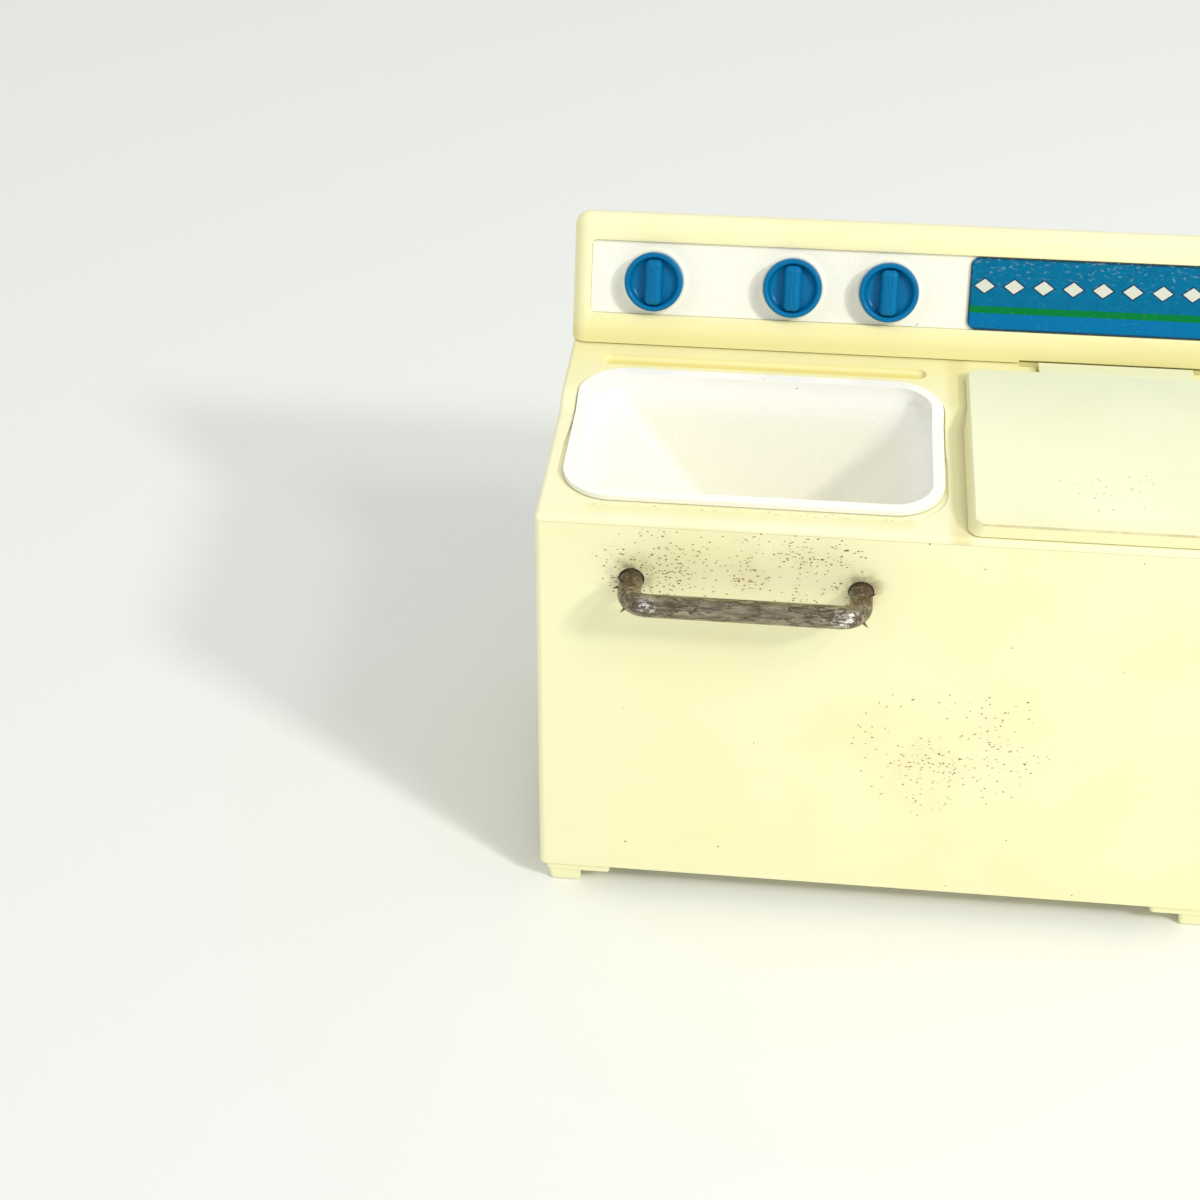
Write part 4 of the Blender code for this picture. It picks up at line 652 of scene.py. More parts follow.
for quarter in range(4):
    fin = block("fin", (0.0020, -0.0007, 0.0008), (0.0092, 0.0007, 0.0064))
    pick(fin, "VERT", lambda middle, way: middle.z > 0.006 and middle.x > 0.005)
    shift(-0.0030, 0, 0)
    pick(fin, "VERT", lambda middle, way: middle.z > 0.006)
    stretch(1.0, 0.55, 1.0, (0, 0, 0))
    round_off(fin, 0.0006, lambda middle, way: (
        middle.x > 0.003 and abs(way.y) > 0.9 and middle.z > 0.004), 5)
    only(fin)
    fin.rotation_euler = (0, 0, quarter * pi / 2)
    settle(fin)
    carve(hub, fin, "UNION")
soften(hub, 0.00018, 3, 40.0)
hub.location = (TUB[0], TUB[1], 0.04025)
settle(hub)
fit(hub, agitator_blue, "agitator_unit", "blue_plastic", "agitator")

axle = turned("steel_axle", [
    (0.0, 0.03405), (0.00075, 0.03405), (0.0010, 0.0343), (0.0010, 0.0461), (0.00075, 0.0464),
    (0.0, 0.0464)], TUB, 32)
soften(axle, 0.0)
fit(axle, screw_steel, "agitator_unit", "plated_steel", "agitator_axle")

push_washer = turned("axle_push_washer", [
    (0.00120, 0.03475), (0.0018, 0.03490), (0.0024, 0.03495), (0.0024, 0.03555), (0.0018, 0.03550),
    (0.00120, 0.03535), (0.00120, 0.03475)], TUB, 32)
soften(push_washer, 0.0)
fit(push_washer, screw_steel, "agitator_unit", "plated_steel", "axle_clip")

# The deck: the cream top moulding, low in front, with a raised shelf behind for the back panel.
# It is pushed into the cabinet by a skirt, and holds the sink, the tub, the soap groove and the hinge.
SLOPE_FOOT = 0.002809
SLOPE_TOP = 0.006809
DECK_UNDER = 0.07085
DECK_Z = 0.0719
SHELF_Z = 0.0734
HINGE = (0.0304, 0.018109, 0.0725)
FRAME_SCREW = (0.04745, 0.025875)
SINK_LOW = (-0.0494, -0.019175)
SINK_HIGH = (0.0047, 0.012709)


def step_up(piece, above=0.0):
    """Let a moulding follow the step between the front of the deck and the shelf."""
    for line in (SLOPE_FOOT, SLOPE_TOP):
        pick(piece, "VERT", lambda middle, way: above <= middle.z)
        bpy.ops.mesh.bisect(plane_co=(0, line, 0), plane_no=(0, 1, 0))
    only(piece)
    rows = sorted({round(vert.co.y, 6) for vert in piece.data.vertices if above <= vert.co.z})
    for row in rows:
        share = min(max((row - SLOPE_FOOT) / (SLOPE_TOP - SLOPE_FOOT), 0.0), 1.0)
        if share > 0:
            pick(piece, "VERT", lambda middle, way: abs(middle.y - row) < HAIR / 10 and above <= middle.z)
            shift(0, 0, (SHELF_Z - DECK_Z) * share)
    only(piece)


deck = block("deck_moulding", (-CASE_SIDE, CASE_FRONT, DECK_UNDER), (CASE_SIDE, CASE_BACK, SHELF_Z))
for line in (SLOPE_FOOT, SLOPE_TOP):
    score(deck, (0, line, 0), (0, 1, 0))
pick(deck, "VERT", lambda middle, way: middle.z > 0.073 and middle.y < SLOPE_FOOT + HAIR)
shift(0, 0, DECK_Z - SHELF_Z)
OUTER = 0.0001
round_off(deck, 0.0007, lambda middle, way: middle.z > 0.0711 and (
    abs(middle.x) > CASE_SIDE - OUTER or middle.y < CASE_FRONT + OUTER or middle.y > CASE_BACK - OUTER), 6)
pick(deck, "EDGE", lambda middle, way: abs(way.x) > 0.9 and abs(middle.x) < 0.001 and (
    abs(middle.y - SLOPE_FOOT) < HAIR or abs(middle.y - SLOPE_TOP) < HAIR))
round_picked(0.0009, 5)
only(deck)
backing = rounded_block("backing", (-0.0501, -0.022275, 0.0699), (0.0501, 0.029925, 0.0713), 0.0008, 4)
carve(deck, backing, "UNION")
skirt = rounded_block("skirt", (-0.05035, -0.022525, 0.0678), (0.05035, 0.030175, 0.07145), 0.0008, 4)
skirt_inside = rounded_block("skirt_inside", (-0.04925, -0.021425, 0.0668), (0.04925, 0.029075, 0.0730),
                             0.0006, 4)
carve(skirt, skirt_inside)
carve(deck, skirt, "UNION")

seat = rounded_block("rim_seat", (SINK_LOW[0] - 0.00025, SINK_LOW[1] - 0.00025, 0.0714),
                     (SINK_HIGH[0] + 0.00025, SINK_HIGH[1] + 0.00025, 0.0729), 0.00765, 14)
step_up(seat)
carve(deck, seat)
moat = rounded_block("moat", (SINK_LOW[0] - 0.0007, SINK_LOW[1] - 0.0016, 0.07145),
                     (SINK_HIGH[0] + 0.0004, SINK_HIGH[1] - 0.0020, 0.0729), 0.0074, 14)
pick(moat, "FACE", lambda middle, way: middle.z > 0.0728)
stretch(1.012, 1.022, 1.0, (-0.02235, 0.0, 0.0729))
only(moat)
score(moat, (0, -0.0060, 0), (0, 1, 0))
bpy.ops.mesh.select_all(action="SELECT")
bpy.ops.mesh.bisect(plane_co=(0, SLOPE_FOOT, 0), plane_no=(0, 1, 0), use_fill=True, clear_outer=True)
pick(moat, "VERT", lambda middle, way: middle.y > SLOPE_FOOT - HAIR)
stretch(0.972, 1.0, 1.0, (-0.02235, SLOPE_FOOT, 0.0729))
only(moat)
carve(deck, moat)
mouth = rounded_block("sink_mouth", (-0.04905, -0.018825, 0.0660), (0.00435, 0.012359, 0.0760), 0.00705, 14)
carve(deck, mouth)

carve(deck, tube_block("tub_hole", (TUB[0], TUB[1], 0.0660), (TUB[0], TUB[1], 0.0760), 0.01529, 96))
carve(deck, tube_block("lip_well", (TUB[0], TUB[1], DECK_Z), (TUB[0], TUB[1], 0.0760), 0.01749, 96))

groove = rounded_block("soap_groove", (-0.0468, 0.014309, 0.0727), (0.0023, 0.017209, 0.0750), 0.00142, 10)
pick(groove, "EDGE", lambda middle, way: middle.z < 0.0728)
round_picked(0.0006, 5)
only(groove)
carve(deck, groove)

carve(deck, block("hinge_slot", (0.0187, 0.017059, 0.0660), (0.0421, 0.020709, 0.0760)))
carve(deck, block("slot_ends", (0.0162, 0.019409, 0.0722), (0.0446, 0.020709, 0.0760)))
carve(deck, tube_block("pin_hole", (0.01475, *HINGE[1:]), (0.04605, *HINGE[1:]), 0.0007, 24))
for x in (-FRAME_SCREW[0], FRAME_SCREW[0]):
    y = FRAME_SCREW[1]
    carve(deck, tube_block("screw_hole", (x, y, 0.0660), (x, y, 0.0760), SCREW_BORE, 20))
soften(deck, 0.00018, 3, 30.0)

deck_ivory = plastic("ivory_deck", (0.945, 0.920, 0.600), (0.940, 0.900, 0.550), 0.34, 0.009)
tree = deck_ivory.node_tree
place = place_of(deck_ivory)
axes = axes_of(tree, place)
# Painted shade: the deck grows darker and yellower towards the back panel.
shade_near_frame = between(tree, axes[1], 0.003, 0.020, 0.0, 0.75)
stain(deck_ivory, shade_near_frame, (0.90, 0.84, 0.40))
# Painted shade: a darker yellow fill in the soap groove.
groove_shade = near_line(tree, place, -0.0453, 0.0008, 0.015759, 0.0017, 1)
stain(deck_ivory, groove_shade, (0.85, 0.73, 0.25))
lump = near_line(tree, place, -0.0010, -0.0004, 0.0148, 0.00045, 1)
stain(deck_ivory, times(tree, lump, 0.9), (0.12, 0.08, 0.03))
# Painted shadow of the lid on the deck beside it, with some dirt in the gap.
lid_shadow_and_dirt = between(tree, apart(tree, axes[0], 0.0068),
                     0.0004, 0.0024, 0.65, 0.0)
stain(deck_ivory, lid_shadow_and_dirt, (0.78, 0.70, 0.31))
crumbs = between(tree, noise(tree, place, 1500.0, 5.0), 0.55, 0.66, 0.0, 0.5)
rim_stain = near_line(tree, place, -0.0440, -0.0005, -0.0212, 0.0022, 1)
stain(deck_ivory, times(tree, rim_stain, 0.40), (0.90, 0.82, 0.34))
moat_dirt = near_line(tree, place, -0.0440, -0.0005, -0.0203, 0.0012, 1)
stain(deck_ivory, times(tree, moat_dirt, crumbs), (0.40, 0.31, 0.13))
# Painted shade with dirt in the deck's corners and seams.
crevice_grime_and_shade(deck_ivory, 0.0008, 0.32, (0.50, 0.40, 0.15))
fit(deck, deck_ivory, "body", "ivory_plastic", "top_deck")

# The sink: a glossy white polystyrene hopper whose rolled rim lies in a shallow moat in the deck.
# The rim follows the deck's step, and the side walls slant down to a narrow floor.
basin = rounded_block("white_sink", (*SINK_LOW, 0.07155), (*SINK_HIGH, 0.07235), 0.0074, 14)
step_up(basin)


def hopper(name, lip_box, lip_corner, lip_z, top_z, floor_box, floor_corner, floor_z):
    """A solid funnel: upright down to the lip, then slanting in to a smaller floor."""
    funnel = rounded_block(name, (lip_box[0], lip_box[2], floor_z), (lip_box[1], lip_box[3], top_z),
                           lip_corner, 14)
    score(funnel, (0, 0, lip_z), (0, 0, 1))
    for x_side in (0, 1):
        for y_side in (2, 3):
            way_x = 2 * x_side - 1
            way_y = 2 * y_side - 5
            centre = (lip_box[x_side] - way_x * lip_corner, lip_box[y_side] - way_y * lip_corner, floor_z)
            pick(funnel, "VERT", lambda middle, way: middle.z < floor_z + HAIR and
                 (middle.x - centre[0]) * way_x > -HAIR and (middle.y - centre[1]) * way_y > -HAIR)
            stretch(floor_corner / lip_corner, floor_corner / lip_corner, 1, centre)
            shift(floor_box[x_side] - way_x * floor_corner - centre[0],
                  floor_box[y_side] - way_y * floor_corner - centre[1], 0)
    pick(funnel, "EDGE", lambda middle, way: middle.z < floor_z + HAIR)
    round_picked(0.0011, 5)
    only(funnel)
    return funnel


outside = hopper("outside", (-0.0488, 0.0041, -0.018575, 0.012109), 0.0068, 0.07115, 0.0717,
                 (-0.0290, -0.0157, -0.017255, 0.005509), 0.0035, 0.04905)
step_up(outside, 0.0714)
carve(basin, outside, "UNION")
carve(basin, hopper("inside", (-0.0477, 0.0030, -0.017475, 0.011009), 0.0057, 0.07145, 0.0760,
                    (-0.0279, -0.0168, -0.016155, 0.004409), 0.0024, 0.05015))
soften(basin, 0.00038, 5, 34.0)
basin_white = plastic("white_sink", (0.955, 0.950, 0.895), (0.95, 0.945, 0.88), 0.22, 0.022)
tree = basin_white.node_tree
depth = axes_of(tree, place_of(basin_white))[2]
# Painted shade: the sink's inside turns greyer the deeper it goes.
stain(basin_white, between(tree, depth, 0.0660, 0.0716, 0.90, 0.0), (0.90, 0.885, 0.755))
# Painted shade with faint dirt in the sink's corners.
crevice_grime_and_shade(basin_white, 0.0030, 0.10, (0.60, 0.54, 0.38))
fit(basin, basin_white, "body", "white_plastic", "sink_basin")

# The lid: a shallow cream tray turned over the tub, softer and greener than the cabinet.
# It swings on two stub pins beside the tab behind it, and its brow bends down at the front.
LID_LOW = (0.0076, -0.023775)
LID_HIGH = (0.0500, 0.016109)
LID_TOP = 0.0749
BROW = LID_LOW[1] + 0.0050
TAB_HALF = 0.0114
lid = rounded_block("cream_lid", (*LID_LOW, 0.07215), (*LID_HIGH, LID_TOP), 0.0018, 8)
pick(lid, "FACE", lambda middle, way: way.z > 0.9)
stretch(0.962, 0.975, 1.0, (0.0288, -0.003833, LID_TOP))
only(lid)
score(lid, (0, BROW, 0), (0, 1, 0))
pick(lid, "VERT", lambda middle, way: middle.z > 0.074 and middle.y < BROW - 0.0010)
shift(0, -0.0004, -0.0008)
round_off(lid, 0.0011, lambda middle, way: middle.z > 0.0735 and middle.y > LID_LOW[1] + 0.0015 and not (
    abs(middle.x - 0.0288) < 0.001 and abs(middle.y - BROW) < 0.0002), 6)
only(lid)
TAB_LEFT = HINGE[0] - TAB_HALF
TAB_RIGHT = HINGE[0] + TAB_HALF
TAB_BACK = HINGE[1] + 0.0014
tab = block("tab", (TAB_LEFT, LID_HIGH[1] - 0.0018, 0.07365), (TAB_RIGHT, TAB_BACK, 0.0744))
for line, rise in ((LID_HIGH[1] + 0.0006, 0.00010), (LID_HIGH[1] - 0.0006, 0.00030)):
    score(tab, (0, line, 0), (0, 1, 0))
    pick(tab, "VERT", lambda middle, way: abs(middle.y - line) < HAIR and middle.z > 0.074)
    shift(0, 0, rise)
pick(tab, "VERT", lambda middle, way: middle.y < LID_HIGH[1] - 0.0017 and middle.z > 0.074)
shift(0, 0, 0.00048)
pick(tab, "EDGE", lambda middle, way: abs(way.x) > 0.9 and middle.z > 0.074 and middle.y > HINGE[1])
round_picked(0.0005, 5)
only(tab)
knuckle = tube_block("knuckle", (TAB_LEFT, *HINGE[1:]), (TAB_RIGHT, *HINGE[1:]), 0.0008)
carve(knuckle, block("web", (TAB_LEFT, HINGE[1] - 0.0008, HINGE[2]),
                     (TAB_RIGHT, HINGE[1] + 0.0008, HINGE[2] + 0.0014)), "UNION")
carve(knuckle, block("heel", (TAB_LEFT, HINGE[1], HINGE[2] + 0.0005),
                     (TAB_RIGHT, TAB_BACK, HINGE[2] + 0.0014)), "UNION")
carve(tab, knuckle, "UNION")
carve(lid, tab, "UNION")
carve(lid, rounded_block("lid_inside", (LID_LOW[0] + 0.0012, LID_LOW[1] + 0.0012, 0.0700),
                         (LID_HIGH[0] - 0.0012, LID_HIGH[1] - 0.0012, 0.0737), 0.0008, 6))
relief = block("shelf_relief", (0.0066, SLOPE_FOOT - 0.00025, 0.0711), (0.0510, 0.016234, 0.07365))
pick(relief, "VERT", lambda middle, way: middle.z > 0.073 and middle.y < SLOPE_FOOT)
shift(0, 0.0040, 0)
pick(relief, "VERT", lambda middle, way: middle.z < 0.072 and middle.y < SLOPE_FOOT)
shift(0, -0.0028, 0)
only(relief)
carve(lid, relief)
soften(lid, 0.00024, 3, 34.0)
for start, end in ((0.01490, 0.0191), (0.0417, 0.04590)):
    pin = tube_block("pin", (start, HINGE[1], HINGE[2]), (end, HINGE[1], HINGE[2]), 0.0005, 24)
    carve(lid, pin, "UNION")
lid_cream = plastic("cream_lid", (0.925, 0.92, 0.635), (0.88, 0.885, 0.59), 0.33, 0.020, 0.06)
tree = lid_cream.node_tree
place = place_of(lid_cream)
rear = axes_of(tree, place)[1]
stain(lid_cream, between(tree, rear, -0.010, 0.017, 0.0, 0.35), (0.76, 0.80, 0.56))
height = axes_of(tree, place)[2]
# Painted shade: darker and yellower on the lid's sides, brow and underside, below its top surface.
stain(lid_cream, between(tree, height, 0.0737, 0.0747, 0.65, 0.0), (0.90, 0.84, 0.42))
film = times(tree, near_line(tree, place, 0.0240, 0.0310, -0.0148, 0.0060, 1), 0.30)
stain(lid_cream, times(tree, specks(tree, place, 2100.0, film, 0.34), 0.60), (0.42, 0.38, 0.20))
seam = near_line(tree, place, 0.0092, 0.0486, -0.02361, 0.00024, 1)
seam = times(tree, seam, reckon(tree, "GREATER_THAN", height, 0.07385))
seam = times(tree, seam, between(tree, noise(tree, place, 260.0, 3.0), 0.35, 0.60, 0.30, 0.65))
stain(lid_cream, seam, (0.50, 0.42, 0.20))
fit(lid, lid_cream, "lid", "cream_plastic", "washer_lid")

# The back panel's frame: a hollow cream moulding, tilted back, with fat rounded edges.
# It is screwed to the shelf from below, and a pocket in its face takes the control panel.
TILT = radians(24.0)
PANEL_FOOT = (0.0, 0.020009, SHELF_Z)
LEAN = Matrix.Translation(PANEL_FOOT) @ Matrix((
    (1, 0, 0, 0), (0, sin(TILT), -cos(TILT), 0), (0, cos(TILT), sin(TILT), 0), (0, 0, 0, 1)))


def lean_back(piece):
    """Lay a piece that was made flat, face up, against the tilted face."""
    piece.matrix_world = LEAN
    return settle(piece)


face_top = LEAN @ Vector((0, 0.0202, 0))
rear_top = face_top.z - (CASE_BACK - face_top.y) * sin(TILT) / cos(TILT)
back = block("panel_frame", (-0.0523, PANEL_FOOT[1], 0.07365), (0.0523, CASE_BACK, rear_top))
pick(back, "VERT", lambda middle, way: middle.z < 0.08 and middle.y < 0.025)
shift(0, 0.00025 * sin(TILT) / cos(TILT), 0)
pick(back, "VERT", lambda middle, way: middle.z > 0.08 and middle.y < 0.025)
shift(0, face_top.y - PANEL_FOOT[1], face_top.z - rear_top)
round_off(back, 0.0022, lambda middle, way: middle.z > 0.0737 and (
    middle.z > face_top.z - HAIR or (
        abs(middle.x) > 0.0522 and (middle.y < face_top.y or middle.z > rear_top))), 8)
only(back)
hollow = block("hollow", (-0.0509, PANEL_FOOT[1], 0.0720), (0.0509, 0.0340, 0.0800))
inner_low = LEAN @ Vector((0, -0.0012, -0.0026))
inner_top = LEAN @ Vector((0, 0.0188, -0.0026))
pick(hollow, "VERT", lambda middle, way: middle.y < 0.0335 and middle.z > 0.079)
shift(0, inner_top.y - PANEL_FOOT[1], inner_top.z - 0.0800)
pick(hollow, "VERT", lambda middle, way: middle.y > 0.0335 and middle.z > 0.079)
shift(0, 0, inner_top.z - 0.0800 - (0.0340 - inner_top.y) * sin(TILT) / cos(TILT))
pick(hollow, "VERT", lambda middle, way: middle.y < 0.03 and middle.z < 0.0725)
shift(0, inner_low.y - PANEL_FOOT[1], inner_low.z - 0.0720)
only(hollow)
carve(back, hollow)
cover_screws = [(-0.0523 + 0.1046 * share, 0.0807815) for share in (0.20, 0.80)]
for x, z in cover_screws:
    boss = tube_block("boss", (x, 0.0245, z), (x, 0.030175, z), 0.0023)
    carve(boss, tube_block("pilot", (x, 0.0270, z), (x, 0.0320, z), SCREW_BORE, 20))
    carve(back, boss, "UNION")
for x in (-FRAME_SCREW[0], FRAME_SCREW[0]):
    side = 1 if x > 0 else -1
    boss = tube_block("boss", (x, FRAME_SCREW[1], 0.07365), (x, FRAME_SCREW[1], 0.07965), 0.0023)
    web_end = side * 0.0516
    web = block("web", (min(x, web_end), 0.025175, 0.07366), (max(x, web_end), 0.026575, 0.0795))
    carve(boss, web, "UNION")
    carve(boss, tube_block("pilot", (x, FRAME_SCREW[1], 0.0726), (x, FRAME_SCREW[1], 0.0781), SCREW_BORE, 20))
    carve(back, boss, "UNION")
pocket = rounded_block("pocket", (-0.0495, 0.00485, -0.0018), (0.0495, 0.0159, 0.0010), 0.0008, 6)
for depth, spread in ((-0.0006, 0.00020), (-0.0002, 0.00250)):
    score(pocket, (0, 0, depth), (0, 0, 1))
    pick(pocket, "VERT", lambda middle, way: middle.z > depth + HAIR)
    stretch(1 + spread / 0.0495, 1 + spread / 0.005525, 1.0, (0, 0.010375, 0))
    only(pocket)
carve(back, lean_back(pocket))
knob_spots = [(-0.039725, 0.0099883), (-0.0186225, 0.0099883), (-0.004075, 0.0099883)]
for x, lift in knob_spots:
    hole = tube_block("shaft_hole", (x, lift, -0.0046), (x, lift, 0.0), 0.0014, 32)
    carve(back, lean_back(hole))
carve(back, block("tab_notch", (0.0162, 0.0190, 0.0726), (0.0446, 0.020709, 0.0740)))
soften(back, 0.00018, 3, 34.0)
frame_ivory = plastic("ivory_panel_frame", IVORY, IVORY_AGED, 0.34, 0.009)
tree = frame_ivory.node_tree
axes = axes_of(tree, place_of(frame_ivory))
# Painted shade: the frame darker and yellower low down, at its left end, along its foot by the deck and
# behind the lid.
stain(frame_ivory, between(tree, axes[2], 0.0745, 0.0800, 0.80, 0.0), (0.90, 0.82, 0.35))
stain(frame_ivory, between(tree, axes[0], -0.0516, -0.0495, 0.50, 0.0), (0.90, 0.84, 0.42))
foot_shade = between(tree, axes[2], 0.0742, 0.0764, 0.70, 0.0)
stain(frame_ivory, foot_shade, (0.80, 0.73, 0.31))
shade_behind_lid = times(tree, between(tree, axes[0], 0.010, 0.036, 0.0, 0.85),
                    between(tree, axes[2], 0.0745, 0.0800, 1.0, 0.0))
stain(frame_ivory, shade_behind_lid, (0.78, 0.72, 0.30))
# Painted shade with dirt in the frame's corners.
crevice_grime_and_shade(frame_ivory, 0.0008, 0.30, (0.45, 0.36, 0.15))
fit(back, frame_ivory, "body", "ivory_plastic", "backsplash_frame")

for x, name in ((-FRAME_SCREW[0], "left"), (FRAME_SCREW[0], "right")):
    seat_z = 0.0708 - 0.0009 - 0.0002
    screw("panel_screw_" + name, "frame_screw_" + name, 0.0042 + SHELF_Z - seat_z,
          Matrix.Translation((x, FRAME_SCREW[1], seat_z)))

# The rear cover: a flat cream plate let into the back of the frame.
# Two screws go through it into bosses, with their heads sunk flush.
cover_top = rear_top - 0.0014 / cos(TILT) - 0.00025
cover = block("rear_cover", (-0.05065, 0.030425, 0.0739), (0.05065, CASE_BACK, cover_top))
round_off(cover, 0.0010, lambda middle, way: abs(way.y) > 0.9, 6)
only(cover)
for x, z in cover_screws:
    carve(cover, tube_block("hole", (x, 0.0290, z), (x, 0.0335, z), SCREW_BORE, 20))
    carve(cover, tube_block("head_recess", (x, CASE_BACK - 0.0011, z), (x, 0.0335, z), 0.0018))
soften(cover, 0.00015, 2)
cover_ivory = plastic("ivory_rear_cover", IVORY, IVORY_AGED, 0.38, 0.008)
fit(cover, cover_ivory, "body", "ivory_plastic", "backsplash_cover")
for (x, z), name in zip(cover_screws, ("left", "right")):
    screw("cover_fixing_" + name, "cover_screw_" + name, 0.0042,
          Matrix.Translation((x, CASE_BACK - 0.0009, z)) @ Matrix.Rotation(pi / 2, 4, "X"))

# The control panel: a warm white plate snapped into the frame's pocket.
# It has a low moulded ring round each knob's shaft hole.
PANEL_FACE = -0.0008
plate = rounded_block("white_control_panel", (-0.04946, 0.00489, -0.0017), (0.04946, 0.01586, PANEL_FACE),
                      0.0007, 5)
for x, lift in knob_spots:
    ring = tube_block("ring", (x, lift, -0.0012), (x, lift, PANEL_FACE + 0.00045), 0.0049, 72)
    pick(ring, "EDGE", lambda middle, way: middle.z > PANEL_FACE + 0.0004)
    round_picked(0.00022, 4)
    only(ring)
    carve(ring, tube_block("ring_bore", (x, lift, PANEL_FACE), (x, lift, 0.0010), 0.0032, 48))
    carve(plate, ring, "UNION")
    carve(plate, tube_block("shaft_hole", (x, lift, -0.0030), (x, lift, 0.0010), 0.0014, 32))
soften(plate, 0.00010, 2, 40.0)
lean_back(plate)
panel_white = plastic("white_control_panel", (0.95, 0.94, 0.83), (0.94, 0.925, 0.80), 0.26, 0.040)
# Painted shade with dirt round the panel's rings and edges.
crevice_grime_and_shade(panel_white, 0.0008, 0.18, (0.66, 0.60, 0.42))
fit(plate, panel_white, "body", "white_plastic", "control_panel")

# The label: a glossy printed strip stuck on the panel's right-hand end.
# Its print is a plain blue field, a green stripe and a row of small pale diamonds.
label = rounded_block("printed_label", (0.0080, 0.00495, -0.0007), (0.0489, 0.0158, -0.0004), 0.0013, 8)
soften(label, 0.00008, 2)
lean_back(label)
print_finish = bpy.data.materials.new("printed_label")
print_finish.use_nodes = True
tree = print_finish.node_tree
shader = tree.nodes["Principled BSDF"]
place = add_node(tree, "TexCoord", {}).outputs["Object"]
flat_place = add_node(tree, "Mapping", {
    "Vector": place, "Rotation": (TILT - pi / 2, 0, 0),
    "Location": (0, -(PANEL_FOOT[1] * sin(TILT) + PANEL_FOOT[2] * cos(TILT)), 0)}).outputs[0]
axes = axes_of(tree, flat_place)
across, lift = axes[0], axes[1]
mottle = noise(tree, place, 900.0, 4.0)
PRINT_BLUES = ((0.0, 0.135, 0.275), (0.0, 0.155, 0.310))
LOWER_BLUE = (0.0, 0.160, 0.370)
STRIPE_GREEN = (0.0, 0.190, 0.040)
STRIPE_LIFT = 0.0080
STRIPE_HALF = 0.00052
DIAMOND_PALE = (0.66, 0.68, 0.58)
DIAMOND_LINE = (0.01, 0.05, 0.12)
DIAMOND_LIFT = 0.01155
DIAMOND_PITCH = 0.0044
field = blend(tree, between(tree, mottle, 0.3, 0.7), *PRINT_BLUES)
below = reckon(tree, "LESS_THAN", lift, STRIPE_LIFT - 0.0002)
field = blend(tree, below, field, LOWER_BLUE)
off_stripe = apart(tree, lift, STRIPE_LIFT)
stripe = reckon(tree, "LESS_THAN", off_stripe, STRIPE_HALF)
field = blend(tree, stripe, field, STRIPE_GREEN)
step = reckon(tree, "MODULO", reckon(tree, "SUBTRACT", across, 0.0080), DIAMOND_PITCH)
off_middle = apart(tree, step, DIAMOND_PITCH / 2)
off_row = apart(tree, lift, DIAMOND_LIFT)
diamond_edge = reckon(tree, "ADD", times(tree, off_middle, 0.72), off_row)
diamond = reckon(tree, "LESS_THAN", diamond_edge, 0.00105)
outline = reckon(tree, "LESS_THAN", diamond_edge, 0.00132)
field = blend(tree, outline, field, DIAMOND_LINE)
field = blend(tree, diamond, field, DIAMOND_PALE)
from_ends = reckon(tree, "SUBTRACT", 0.02045, apart(tree, across, 0.02845))
from_long = reckon(tree, "SUBTRACT", 0.005425, apart(tree, lift, 0.010375))
rim = reckon(tree, "MINIMUM", from_ends, from_long)
field = blend(tree, between(tree, rim, 0.00012, 0.00042, 0.80, 0.0), field, (0.012, 0.035, 0.045))
scuff_place = add_node(tree, "Mapping", {"Vector": flat_place, "Scale": (0.7, 1.2, 1.0)}).outputs[0]
scuff = between(tree, noise(tree, scuff_place, 1900.0, 6.0), 0.56, 0.70)
scuff = times(tree, scuff, between(tree, lift, 0.0105, 0.0145, 0.04, 0.32))
field = blend(tree, scuff, field, (0.42, 0.50, 0.54))
tree.links.new(field, shader.inputs["Base Color"])
tree.links.new(between(tree, scuff, 0.0, 0.4, 0.22, 0.55), shader.inputs["Roughness"])
shader.inputs["Specular IOR Level"].default_value = 0.08
bump = add_node(tree, "Bump", {"Height": mottle, "Strength": 0.15, "Distance": 0.00005})
tree.links.new(bump.outputs[0], shader.inputs["Normal"])
fit(label, print_finish, "body", "printed_label", "panel_label")

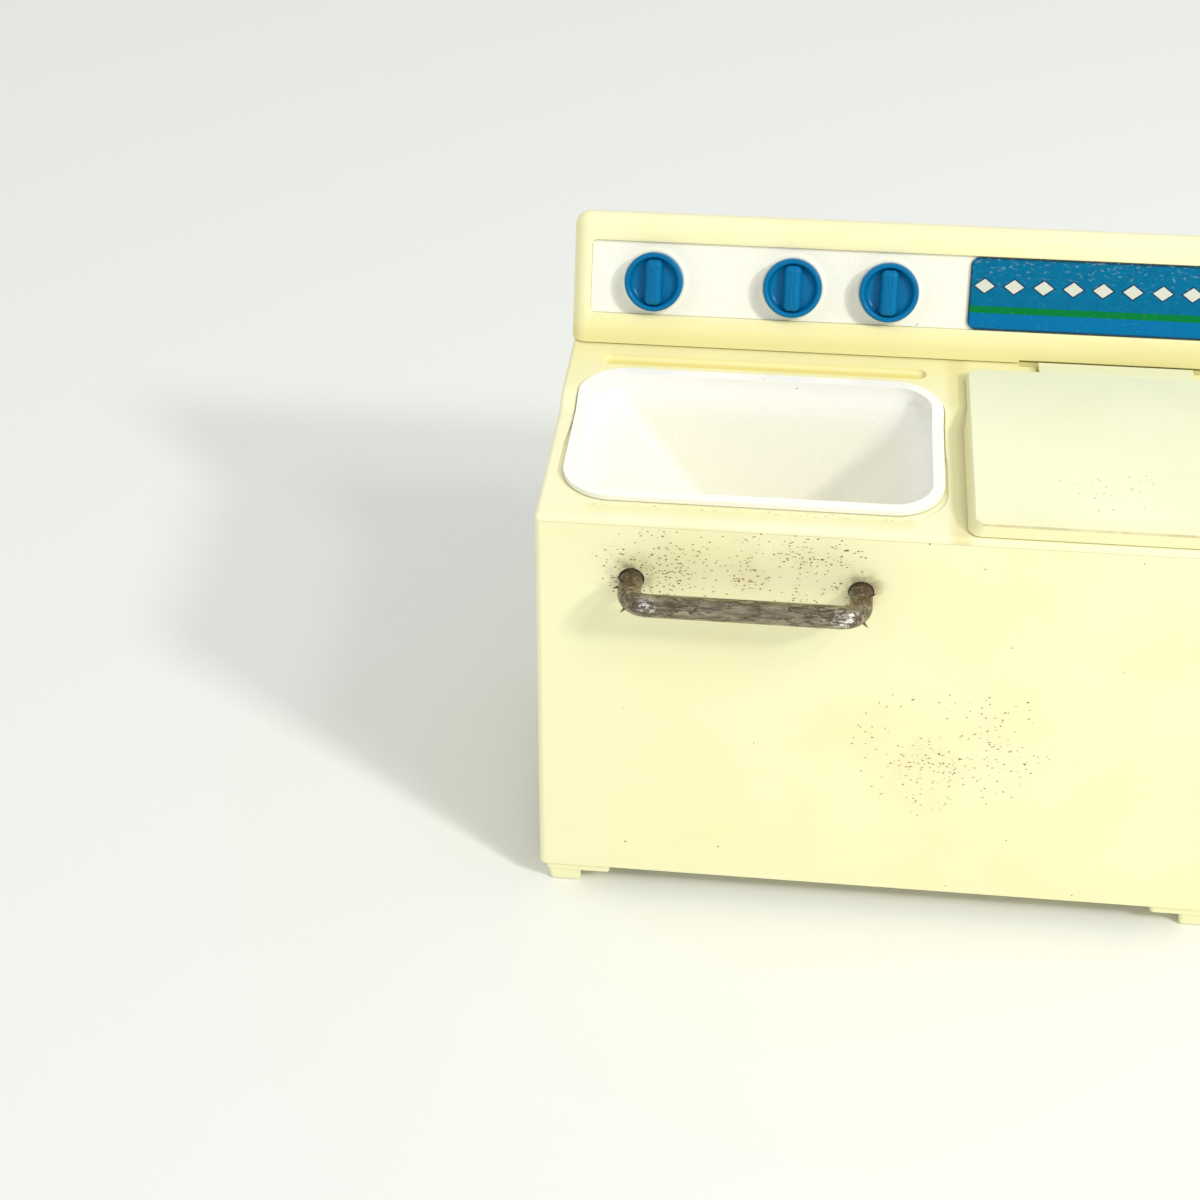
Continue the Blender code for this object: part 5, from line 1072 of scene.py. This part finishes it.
# The knobs: three blue polystyrene knobs, dished, with a grip bar that stands out of the dish.
# Each is moulded with its shaft, and a push-on steel washer holds it behind the frame.
KNOB_BACK = -0.00005
knob_blue = plastic("blue_knob", KNOB_BLUE, KNOB_BLUE_DEEP, 0.25, 0.004)
knob_blue.node_tree.nodes["Principled BSDF"].inputs["Specular IOR Level"].default_value = 0.14
# Painted shade: dark blue in the knob's dish and round its grip bar.
crevice_grime_and_shade(knob_blue, 0.0012, 0.80, (0.0, 0.045, 0.110))


def knob_piece(name):
    """A dished knob with its grip bar and shaft, made flat with its back at zero."""
    piece = turned(name, [
        (0.0, -0.00445), (0.0009, -0.00445), (0.0012, -0.0041), (0.0012, 0.0), (0.0042, 0.0),
        (0.0044, 0.00006), (0.0045, 0.00025), (0.00447, 0.0015), (0.00440, 0.00175), (0.00425, 0.00188),
        (0.00408, 0.0019), (0.00385, 0.00186), (0.00370, 0.00172), (0.00362, 0.0015), (0.00350, 0.00105),
        (0.00325, 0.00082), (0.0028, 0.00072), (0.0, 0.0007)], (0, 0, 0), 80)
    grip = rounded_block("grip", (-0.00145, -0.0036, 0.0003), (0.00145, 0.0036, 0.0026), 0.0009, 6)
    pick(grip, "VERT", lambda middle, way: middle.z > 0.002)
    stretch(0.84, 0.93, 1.0, (0, 0, 0.0026))
    pick(grip, "EDGE", lambda middle, way: middle.z > 0.00255)
    round_picked(0.00085, 6)
    only(grip)
    carve(piece, grip, "UNION")
    soften(piece, 0.00012, 2, 42.0)
    return piece


for (x, lift), side in zip(knob_spots, ("left", "centre", "right")):
    knob = knob_piece("blue_knob_" + side)
    knob.location = (x, lift, KNOB_BACK)
    settle(knob)
    lean_back(knob)
    fit(knob, knob_blue, side + "_knob", "blue_plastic", "knob_" + side)
    ring = turned("knob_push_washer_" + side, [
        (0.0013, -0.00075), (0.0018, -0.0006), (0.0025, -0.0006), (0.0025, 0.0), (0.0018, 0.0),
        (0.0013, -0.00015), (0.0013, -0.00075)], (0, 0, 0), 32)
    ring.location = (x, lift, -0.0029)
    settle(ring)
    lean_back(ring)
    soften(ring, 0.0)
    fit(ring, screw_steel, side + "_knob", "plated_steel", "knob_" + side + "_washer")

only(cabinet)
